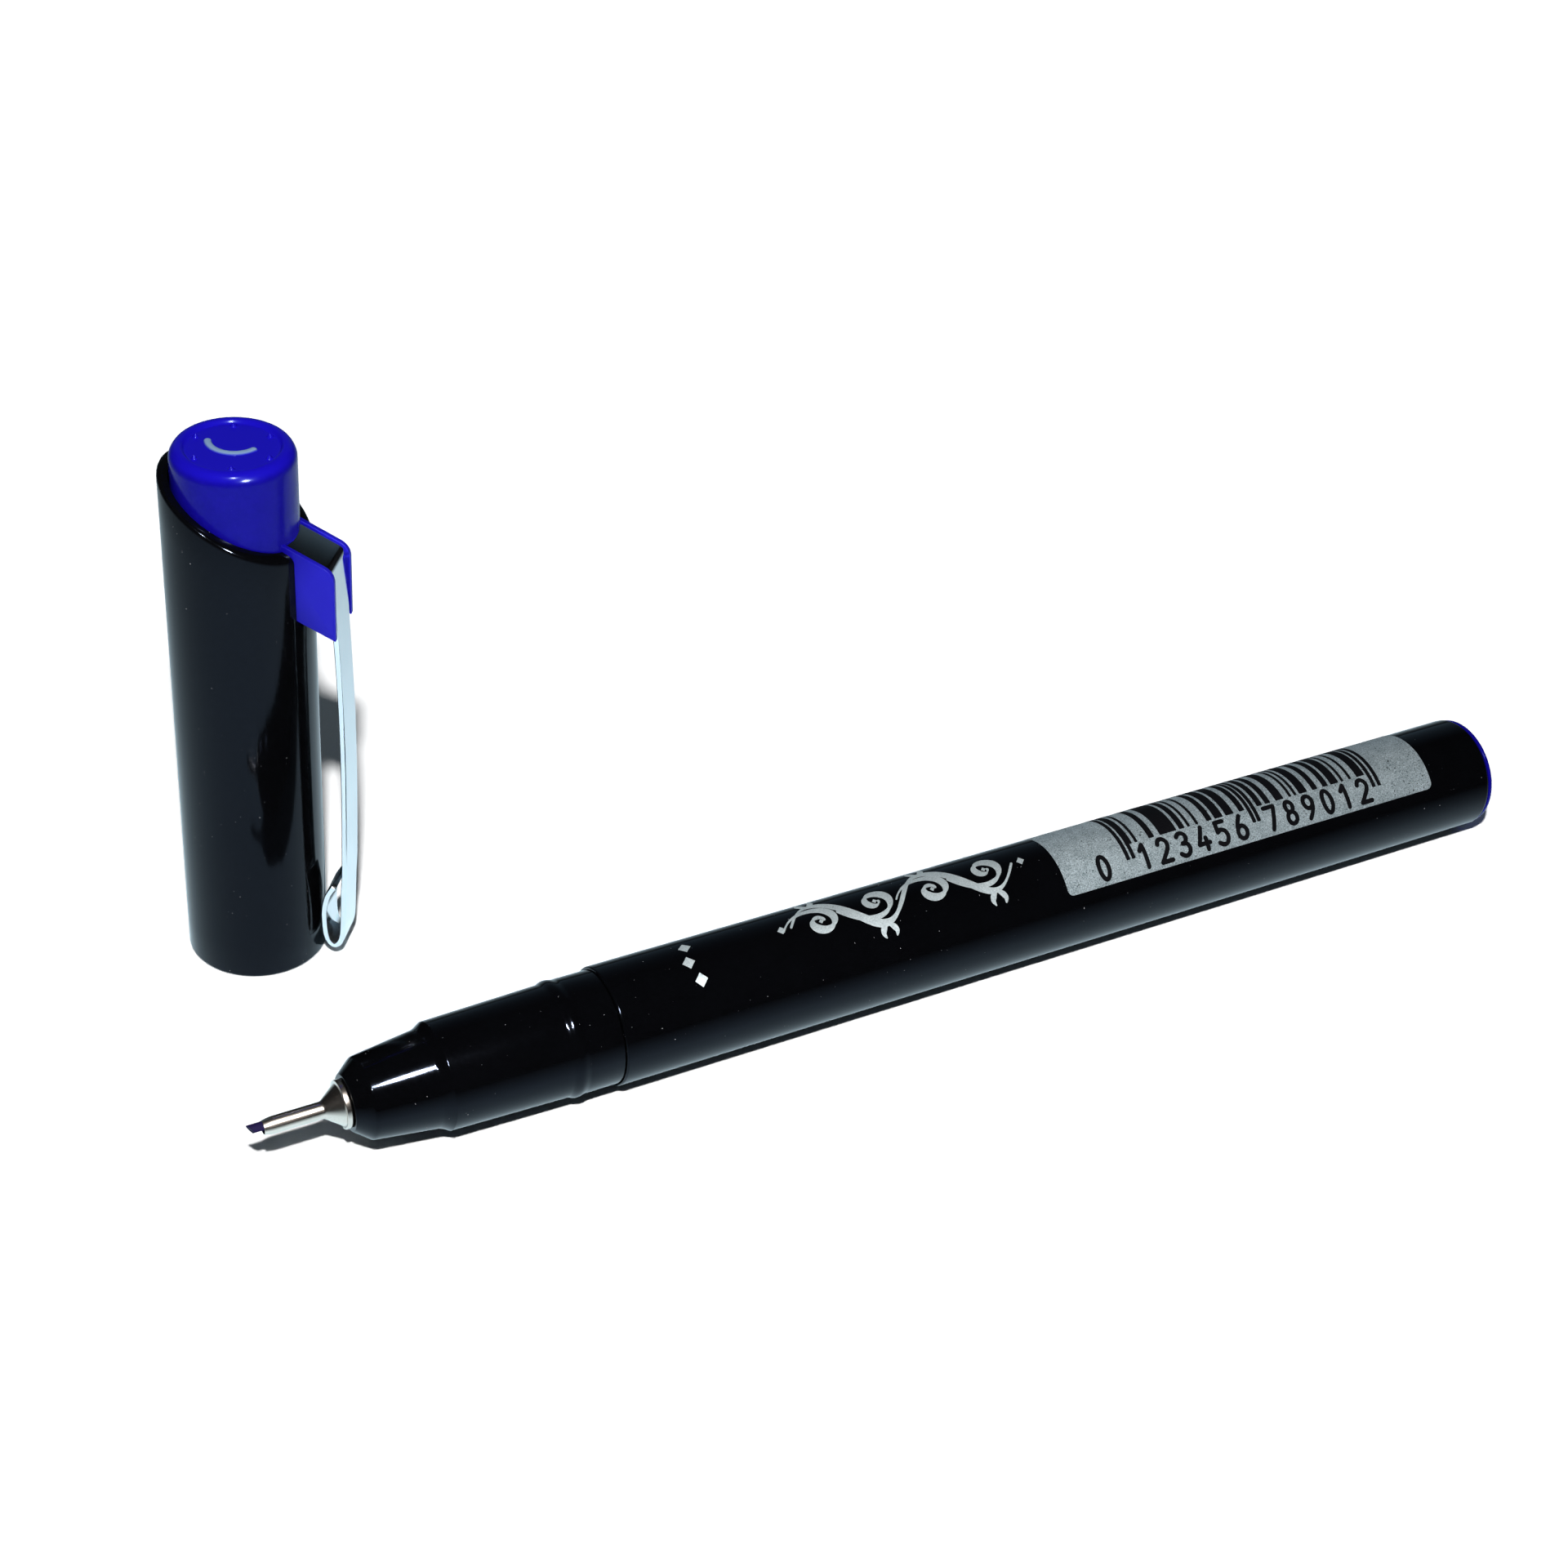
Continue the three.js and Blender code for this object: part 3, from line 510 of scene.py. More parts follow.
class Finishes:
    """The finishes of the pen and its cap."""

    BLACK_PLASTIC = Finish(
        "polished_black_plastic", Slot.BLACK_PLASTIC,
        dark=(0.0016, 0.0017, 0.0022), light=(0.0024, 0.0026, 0.0034), roughness=(0.07, 0.11),
        grain=3000.0, raised=0.0003, specular=0.145, sheen=(0.62, 0.73, 1.0),
        speck=(0.4, 0.41, 0.43), speck_level=0.8,
    )
    BLUE_PLASTIC = Finish(
        "moulded_blue_plastic", Slot.BLUE_PLASTIC,
        dark=(0.0045, 0.0025, 0.25), light=(0.0075, 0.004, 0.32), roughness=(0.15, 0.22),
        grain=2600.0, raised=0.0012, mottle=420.0, specular=0.14, sheen=(0.5, 0.6, 1.0),
        speck=(0.03, 0.03, 0.4),
        marked=(
            # painted light: a lighter blue for light through the thin cheeks, and a lighter blue on
            # the lit top
            (PAINTED_THIN_GLOW, (0.018, 0.014, 0.5)), (PAINTED_TOP_LIGHT, (0.0095, 0.005, 0.46)),
            # the gate mark's pale colour, partly a painted highlight
            (MARK_PALE_AND_HIGHLIGHT, (0.22, 0.34, 0.52)),
        ),
    )
    PLATED_METAL = Finish(
        "bright_nickel_plate", Slot.PLATED_METAL,
        dark=(0.72, 0.74, 0.76), light=(0.86, 0.87, 0.88), roughness=(0.09, 0.17),
        grain=9000.0, raised=0.0003, stretch=(1.0, 1.0, 0.03), speck=(0.35, 0.35, 0.37),
        metallic=1.0,
    )
    FERRULE_METAL = replace(
        PLATED_METAL, name="worn_nickel_plate", stretch=(0.03, 1.0, 1.0),
        dark=(0.62, 0.55, 0.49), light=(0.74, 0.66, 0.58), roughness=(0.19, 0.27),
    )
    INKED_FIBRE = Finish(
        "ink_soaked_fibre", Slot.INKED_FIBRE,
        dark=(0.005, 0.0018, 0.028), light=(0.0115, 0.004, 0.068), roughness=(0.6, 0.85),
        grain=14000.0, raised=0.012, stretch=(0.08, 1.0, 1.0), specular=0.09,
    )
    WHITE_FIBRE = Finish(
        "reservoir_fibre", Slot.WHITE_FIBRE,
        dark=(0.4, 0.38, 0.6), light=(0.72, 0.72, 0.82), roughness=(0.8, 0.95),
        grain=7000.0, raised=0.02, stretch=(0.05, 1.0, 1.0), specular=0.2,
    )
    CLEAR_FILM = Finish(
        "reservoir_film", Slot.CLEAR_FILM,
        dark=(0.8, 0.83, 0.86), light=(0.9, 0.92, 0.94), roughness=(0.1, 0.2),
        grain=2000.0, raised=0.001, alpha=0.4,
    )
    MILKY_PLASTIC = Finish(
        "soft_milky_plastic", Slot.MILKY_PLASTIC,
        dark=(0.68, 0.7, 0.66), light=(0.8, 0.82, 0.78), roughness=(0.4, 0.5),
        grain=2400.0, raised=0.001, specular=0.4,
    )
    SILVER_PRINT = Finish(
        "silver_ink", Slot.SILVER_PRINT,
        dark=(0.15, 0.21, 0.235), light=(0.74, 0.84, 0.88), roughness=(0.42, 0.6),
        grain=9000.0, raised=0.003, mottle=900.0, grain_share=0.8, speck=(0.01, 0.011, 0.012),
        speck_scale=4200.0, speck_level=0.72, metallic=0.5, specular=0.4,
    )
    SILVER_LINE = replace(
        SILVER_PRINT, name="silver_line_ink",
        dark=(0.46, 0.54, 0.56), light=(0.78, 0.85, 0.86), speck_level=0.76,
    )
    BLACK_PRINT = Finish(
        "black_ink", Slot.BLACK_PRINT,
        dark=(0.003, 0.003, 0.004), light=(0.008, 0.008, 0.01), roughness=(0.5, 0.65),
        grain=9000.0, raised=0.002, specular=0.04, speck=(0.08, 0.09, 0.1),
        speck_scale=9000.0, speck_level=0.77,
    )


def publish(piece: Object, finish: Finish, body: Body, *nodes: str) -> None:
    """Gives a piece its finish, hangs it on its body and hides the CAD nodes that it stands for.

    Args:
        piece: the piece.
        finish: its finish.
        body: the body that it rides on.
        nodes: the CAD nodes that it stands for.
    """
    piece.data.materials.clear()
    piece.data.materials.append(finish.material())
    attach(piece, body.value)
    if nodes:
        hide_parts(*nodes)
    faces = len(piece.data.polygons)
    LOG.info("%s: %d faces, on %s, for %s", piece.name, faces, body.value, nodes or "nothing")


# Pen


def pen_axis() -> Axis:
    """The pen's axis, from the barrel's box: station 0 at its front edge, phi 0 towards -Y.

    Returns:
        The axis.
    """
    low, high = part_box("barrel")
    middle = (low + high) / 2 / MM
    origin = np.array([low.x / MM, middle.y, middle.z])
    return Axis(origin, np.array([1.0, 0, 0]), np.array([0, -1.0, 0]), np.array([0, 0, 1.0]))


@dataclass
class Barrel:
    """The black tube with its inner ribs, and the blue stopper in its tail."""

    axis: Axis
    radius: float = 4.993
    bore: float = 4.1
    bore_round: float = 0.08
    length: float = 87.85
    front_round: float = 0.2
    rear_round: float = 0.4
    rib_count: int = 6
    rib_width: float = 0.6
    rib_height: float = 0.6
    rib_span: tuple[float, float] = (10.0, 78.4)
    rib_ramp: float = 0.15
    stopper_rim: float = 4.87
    stopper_back: float = 87.93
    stopper_edge: float = 0.4
    stopper_crown: float = 0.2
    crown_inset: float = 0.4
    stub_end: float = 79.4
    stub: float = 4.01
    stub_wall: float = 0.9
    barb: float = 0.04
    barb_slopes: Point = (0.6, 0.1)

    def ribbed(self, along: Array, radius: Array, angle: Array) -> tuple[Array, Array]:
        """Lowers the bore by the ribs.

        A rib is rib_height tall where the arc from its middle is under half its width, with a
        smooth flank, and its ends ramp down.

        Args:
            along: stations.
            radius: radii.
            angle: angles round the axis.

        Returns:
            The stations and the new radii.
        """
        turn = angle * self.rib_count / TURN
        arc = np.abs((turn + 0.5) % 1.0 - 0.5) * TURN / self.rib_count * self.bore
        half, (low, high) = self.rib_width / 2, self.rib_span
        across = 1 - smooth_step(half - self.rib_ramp, half + 0.05, arc)
        ends = smooth_step(low - self.rib_ramp, low, along)
        ends = ends * (1 - smooth_step(high, high + self.rib_ramp, along))
        inside = radius < self.bore + ON_WALL
        return along, radius - np.where(inside, self.rib_height * across * ends, 0.0)

    def shell(self) -> Surface:
        """The tube: a rounded ring turned about the axis, with ribs in its bore.

        Returns:
            The closed surface.
        """
        (low, high), bore, edge = self.rib_span, self.bore, self.bore_round
        profile = rounded([
            (0, bore, edge), (0, self.radius, self.front_round),
            (self.length, self.radius, self.rear_round), (self.length, bore, edge),
            (high + self.rib_ramp, bore, 0), (high, bore, 0),
            (low, bore, 0), (low - self.rib_ramp, bore, 0),
        ])
        return turned(self.axis, profile, shape=self.ribbed)

    def stopper(self) -> Surface:
        """The stopper: a rim with a low crown, z = crown·(1 - (1 - t)²), on a barbed stub.

        Returns:
            The closed surface.
        """
        back, end, wall, stub = self.stopper_back, self.stub_end, self.stub_wall, self.stub
        middle, rim, face = (back + end) / 2, self.stopper_rim, back + self.stopper_edge
        long, short = self.barb_slopes
        line = rounded(
            [
                (back, 0, 0), (back, stub - wall, 0.1), (end, stub - wall, 0.1),
                (end, stub - wall / 2, 0.1), (end + wall / 2, stub, 0.15),
                (middle - long, stub, 0.1), (middle, stub + self.barb, 0.05),
                (middle + short, stub, 0.02), (back, stub, 0.05), (back, rim, 0.08),
                (face, rim, 0.3), (face, 0, 0),
            ],
            7,
        )
        # All but its flat face, which the crown replaces
        outer = line[(line[:, 0] < face - 1e-9) | (line[:, 1] > rim - 0.55)]
        left = 1 - np.linspace(0.0, 1.0, 9)[1:, None]
        crown = face + self.stopper_crown * (1 - left**2)
        top = np.hstack([crown, (rim - self.crown_inset) * left])
        return turned(self.axis, np.concatenate([outer, top]), ring=False)

    def build(self) -> None:
        """Makes both pieces."""
        shell, stopper = self.shell().object("barrel_shell"), self.stopper()
        publish(shell, Finishes.BLACK_PLASTIC, Body.PEN, "barrel")
        publish(stopper.object("tail_stopper"), Finishes.BLUE_PLASTIC, Body.PEN, "tail_plug")


@dataclass
class WritingEnd:
    """The grip section, the plated ferrule on its nose, and the chisel nib."""

    axis: Axis
    seat: float = 4.77
    seat_end: float = -0.08
    bead: float = 4.88
    bead_span: tuple[float, float] = (-4.5, -2.9)
    grip_rear: float = 4.68
    grip_front: float = 4.46
    grip_end: float = -14.4
    nose_rear: float = 4.02
    nose_start: float = -15.33
    nose_front: float = 3.38
    nose_end: float = -20.55
    face: float = 2.32
    face_at: float = -21.87
    step_hollow: float = 1.4
    spigot: float = 4.05
    spigot_end: float = 9.0
    spigot_bevel: Point = (0.4, 0.2)
    socket: float = 3.5
    ledge: float = 2.6
    ledge_at: float = -12.2
    funnel_at: float = -15.2
    nib_bore: float = 0.62
    stem_bore: float = 1.15
    stem_stop: float = -17.39
    vent: float = 0.4
    ferrule_front: float = -28.6
    ferrule_radius: float = 0.7
    ferrule_bore: float = 0.57
    ferrule_lip: float = 0.53
    ferrule_taper: float = 0.7
    cone_front: float = -23.8
    cone_rear: float = -22.4
    cone_radius: float = 1.72
    flange: float = 2.0
    flange_back: float = -21.95
    stem: float = 1.1
    stem_end: float = -17.47
    nib: float = 0.52
    nib_tip: float = -29.8
    nib_rear: float = -7.62
    nib_flat: float = 0.2
    nib_flat_length: float = 2.1
    nib_bevel: float = math.radians(57)
    nib_turn: float = math.radians(-45)
    nib_sides: int = 64

    def vented(self, along: Array, radius: Array, angle: Array) -> tuple[Array, Array]:
        """Deepens the narrow bore by a groove on top, as wide as the vent.

        Args:
            along: stations.
            radius: radii.
            angle: angles round the axis.

        Returns:
            The stations and the new radii.
        """
        narrow = (radius < self.stem_bore + ON_WALL) & (along < self.funnel_at + ON_WALL)
        across = np.abs(np.sin(angle - math.pi / 2)) * self.stem_bore
        groove = 1 - smooth_step(self.vent / 2 - 0.03, self.vent / 2 + 0.03, across)
        deeper = (self.stem_bore + self.vent - radius) * (groove * (np.sin(angle) > 0))
        return along, radius + np.where(narrow, deeper, 0.0)

    def section(self) -> Surface:
        """The grip section: straight tapers, a hollowed step and a bead that rises as sin².

        Returns:
            The closed surface.
        """
        t = np.linspace(0.0, 1.0, 13)
        step_at = self.nose_start + t * (self.grip_end - self.nose_start)
        step = self.nose_rear + (self.grip_front - self.nose_rear) * t**self.step_hollow
        reach = np.pad(np.zeros(len(t) - 2), 1, constant_values=0.05)
        b, (low, high) = np.linspace(0.0, 1.0, 25), self.bead_span
        bevel, fall = self.spigot_bevel
        under = self.grip_rear + (self.seat - self.grip_rear) * b
        bead = under + (self.bead - under) * np.sin(math.pi * b) ** 2
        corners = [
            (self.face_at, self.stem_bore, 0.05), (self.face_at, self.face, 0.06),
            (self.nose_end, self.nose_front, 0.16), *zip(step_at, step, reach),
            *zip(low + b * (high - low), bead, np.zeros(len(b))),
            (self.seat_end, self.seat, 0.04), (self.seat_end, self.spigot, 0.03),
            (self.spigot_end - bevel, self.spigot, 0.1),
            (self.spigot_end, self.spigot - fall, 0.05),
            (self.spigot_end, self.socket, 0.05), (self.ledge_at, self.socket, 0.05),
            (self.ledge_at, self.ledge, 0.05), (self.funnel_at, self.nib_bore, 0.0),
            (self.funnel_at - 0.01, self.nib_bore, 0.0), (self.stem_stop, self.nib_bore, 0.03),
            (self.stem_stop, self.stem_bore, 0.03),
        ]
        return turned(self.axis, rounded(corners, 5), shape=self.vented)

    def ferrule(self) -> Surface:
        """The ferrule: a slim tube with a rolled mouth, a hollow cone, a flange and a stem.

        Returns:
            The closed surface.
        """
        front, bore, tube = self.ferrule_front, self.ferrule_bore, self.ferrule_radius
        mouth = front + self.ferrule_taper
        f = np.linspace(0.0, 1.0, 9)[1:-1]
        cone_at = self.cone_front + f * (self.cone_rear - self.cone_front)
        cone = tube + (self.cone_radius - tube) * f
        corners = [
            (mouth, bore, 0.1), (front, self.ferrule_lip, 0.01),
            (front, self.ferrule_lip + 0.05, 0.02), (mouth, tube, 0.3),
            (self.cone_front, tube, 0.12), *zip(cone_at, cone, np.zeros(len(f))),
            (self.cone_rear, self.cone_radius, 0.03), (self.cone_rear, self.flange, 0.07),
            (self.flange_back, self.flange, 0.1), (self.flange_back, self.stem, 0.02),
            (self.stem_end, self.stem, 0.1), (self.stem_end, bore, 0.02),
        ]
        return turned(self.axis, rounded(corners, 5), FINE)

    def chisel(self) -> Surface:
        """The nib: a rod whose cross-section is planed flat below and whose end is bevelled.

        A ring of angle t has the section (cos t, sin t)·r, and below the axis its height is held
        above the flat, whose depth ramps out behind the tip. The front rings lie in the bevel's
        plane, x = tip + (r - height)/tan(bevel), shrinking to its middle. The rod lies turned
        about the axis: its own up leans from phi 90 by the turn.

        Returns:
            The closed surface.
        """
        angle = np.arange(self.nib_sides) * TURN / self.nib_sides
        flat, length = self.nib_flat_length, self.nib_rear - self.nib_tip
        body = np.array([0.06, 0.5, flat - self.nib, flat, 8.0, length - self.nib])
        distance = np.concatenate([np.zeros(4), body, [length, length]])[:, None]
        size = np.concatenate([[0.0, 0.45, 0.85, 0.965], np.ones(len(body)), [0.5, 0.0]])[:, None]
        across, up = (self.nib * wave(angle)[None] * size for wave in (np.cos, np.sin))
        ramp = smooth_step(flat - self.nib, flat, distance)
        up = np.maximum(up, -(self.nib_flat + (self.nib - self.nib_flat) * ramp) * size)
        slope = (self.nib - up) / math.tan(self.nib_bevel)
        along = self.nib_tip + distance + slope * (1 - smooth_step(0.5, flat, distance))
        lean = math.pi / 2 - self.nib_turn
        c, s = math.cos(lean), math.sin(lean)
        return Surface.grid(self.axis.place(up * c + across * s, up * s - across * c, along))

    def build(self) -> None:
        """Makes the three pieces."""
        grip = self.section().object("grip_section", sharp=24.0)
        publish(grip, Finishes.BLACK_PLASTIC, Body.PEN, "front_section")
        ferrule, nib = self.ferrule().object("ferrule"), self.chisel().object("chisel_nib")
        publish(ferrule, Finishes.FERRULE_METAL, Body.PEN, "nib_ferrule")
        publish(nib, Finishes.INKED_FIBRE, Body.PEN, "nib")


@dataclass
class InkSupply:
    """The fibre reservoir and its film sleeve, which keep their CAD shapes."""

    nodes: dict[str, Object]

    def build(self) -> None:
        """Dresses both nodes."""
        dress = {"ink_reservoir": Finishes.WHITE_FIBRE, "reservoir_wrap": Finishes.CLEAR_FILM}
        for name, finish in dress.items():
            node = self.nodes[name]
            if not node.material_slots:
                node.data.materials.append(None)
            for held in node.material_slots:
                held.material = finish.material()
            LOG.info("%s: CAD shape, %s", name, finish.name)


# Printing


@dataclass(frozen=True)
class Wrap:
    """The barrel's skin unrolled: x is the station and y the arc from phi 0, up over the top."""

    axis: Axis
    radius: float

    def film(self, left: Array, right: Array, height: float, columns: int = 2) -> Surface:
        """A closed film of ink between two lines on the skin.

        A row runs from a left point to its right point in equal steps, on the skin plus the
        film's height, and back below the skin; the first and last rows are folded flat.

        Args:
            left: rows of x and y.
            right: rows of x and y.
            height: how far its top stands above the skin.
            columns: steps from left to right.

        Returns:
            The film.
        """
        t = np.linspace(0.0, 1.0, columns + 1)[None, :, None]
        top = left[:, None] * (1 - t) + right[:, None] * t
        loop = np.concatenate([top, top[:, ::-1]], axis=1)
        lift = np.full(loop.shape[:2], height)
        lift[:, columns + 1 :] = -PRINT_SINK
        loop = np.concatenate([loop[:1], loop, loop[-1:]])
        lift = np.pad(lift, ((1, 1), (0, 0)), constant_values=-PRINT_SINK)
        angle = loop[..., 1] / self.radius
        return Surface.grid(self.axis.turn(loop[..., 0], self.radius + lift, angle))

    def bar(
        self, low: Point, high: Point, corner: float, height: float, columns: int = 2
    ) -> Surface:
        """A rectangle with round corners.

        Within the corner's reach of an end, its half width falls short by
        corner - sqrt(corner² - depth²).

        Args:
            low: its lowest x and y.
            high: its highest x and y.
            corner: the corners' radius.
            height: how far its top stands above the skin.
            columns: steps across it.

        Returns:
            The film.
        """
        (x0, y0), (x1, y1) = low, high
        bend = corner * (1 - np.cos(np.linspace(0, math.pi / 2, 6)))
        steps = max(2, int((y1 - y0 - 2 * corner) / (self.radius * TURN / SIDES)))
        straight = np.linspace(y0 + corner, y1 - corner, steps)[1:-1]
        y = np.concatenate([y0 + bend, straight, y1 - bend[::-1]])
        depth = np.maximum(0, corner - np.minimum(y - y0, y1 - y))
        short = corner - np.sqrt(np.maximum(corner**2 - depth**2, 0))
        left, right = np.stack([x0 + short, y], axis=1), np.stack([x1 - short, y], axis=1)
        return self.film(left, right, height, columns)

    def stroke(self, line: Array, width: Array, height: float, columns: int = 4) -> Surface:
        """A pen stroke with round ends along a line.

        Its edges lie half the width to both sides of the line, square to its direction, and the
        width falls as sqrt(1 - d²) over the last half width, d from 0 to 1.

        Args:
            line: rows of x and y.
            width: the width at each row.
            height: how far its top stands above the skin.
            columns: steps across it.

        Returns:
            The film.
        """
        ahead = np.gradient(line, axis=0)
        ahead /= np.linalg.norm(ahead, axis=1, keepdims=True)
        cap = np.sin(np.linspace(0.0, math.pi / 2, 6))[:-1]
        far = np.sqrt(1 - cap**2)[:, None]
        first = line[:1] - ahead[:1] * width[0] / 2 * far
        last = line[-1:] + ahead[-1:] * width[-1] / 2 * far
        line = np.concatenate([first, line, last[::-1]])
        ahead = np.pad(ahead, ((len(cap), len(cap)), (0, 0)), mode="edge")
        narrow = np.maximum(cap, 0.02)
        width = np.concatenate([width[0] * narrow, width, width[-1] * narrow[::-1]])
        side = np.stack([-ahead[:, 1], ahead[:, 0]], axis=1) * width[:, None] / 2
        return self.film(line + side, line - side, height, columns)

    def rhomb(self, centre: Point, half: float, height: float) -> Surface:
        """A square dot that stands on its corner, as a broad nib leaves it.

        Args:
            centre: its middle's x and y.
            half: half its height.
            height: how far its top stands above the skin.

        Returns:
            The film.
        """
        v = np.linspace(-1.0, 1.0, 9)
        reach = half * np.maximum(1 - np.abs(v), 0.03) * 0.92
        middle, y = centre[0] + 0.12 * half * v, centre[1] + half * v
        left, right = (np.stack([x, y], axis=1) for x in (middle - reach, middle + reach))
        return self.film(left, right, height, 4)


def oval(x: float, y: float, wide: float, tall: float) -> Array:
    """An upright ellipse, from its middle and its half sizes."""
    t = np.radians(np.linspace(0.0, 360.0, 28))
    return np.stack([x + wide * np.cos(t), y + tall * np.sin(t)], axis=1)


def straight(x0: float, y0: float, x1: float, y1: float) -> Array:
    """A straight line between two points, with enough rows to follow the skin."""
    t = np.linspace(0.0, 1.0, 14)[:, None]
    return np.array([[x0, y0]]) * (1 - t) + np.array([[x1, y1]]) * t


# The strokes of each plain digit in a cell one wide and one tall
DIGITS: tuple[tuple[Array, ...], ...] = (
    (oval(0.5, 0.5, 0.38, 0.5),),
    (straight(0.2, 0.76, 0.55, 1.0), straight(0.55, 1.0, 0.55, 0.0)),
    (
        spline(
            [(0.08, 0.8), (0.26, 0.97), (0.6, 0.99), (0.86, 0.8), (0.78, 0.54), (0.42, 0.26),
             (0.06, 0.0)], 6,
        ),
        straight(0.06, 0.0, 0.94, 0.0),
    ),
    (
        spline([(0.1, 0.88), (0.36, 1.0), (0.7, 0.96), (0.84, 0.78), (0.7, 0.59), (0.42, 0.53)], 6),
        spline(
            [(0.42, 0.53), (0.76, 0.48), (0.9, 0.26), (0.72, 0.05), (0.38, 0.0), (0.06, 0.12)], 6
        ),
    ),
    (
        straight(0.62, 1.0, 0.04, 0.27), straight(0.04, 0.27, 0.96, 0.27),
        straight(0.7, 0.5, 0.7, 0.0),
    ),
    (
        straight(0.86, 1.0, 0.2, 1.0), straight(0.2, 1.0, 0.14, 0.56),
        spline(
            [(0.14, 0.56), (0.44, 0.64), (0.78, 0.54), (0.9, 0.3), (0.72, 0.05), (0.38, 0.0),
             (0.06, 0.1)], 6,
        ),
    ),
    (spline([(0.66, 1.0), (0.42, 0.8), (0.22, 0.56), (0.12, 0.3)], 7), oval(0.5, 0.28, 0.38, 0.28)),
    (straight(0.06, 1.0, 0.92, 1.0), straight(0.92, 1.0, 0.34, 0.0)),
    (oval(0.5, 0.76, 0.31, 0.24), oval(0.5, 0.26, 0.38, 0.26)),
    (oval(0.5, 0.72, 0.38, 0.28), spline([(0.88, 0.7), (0.78, 0.44), (0.58, 0.2), (0.34, 0.0)], 7)),
)


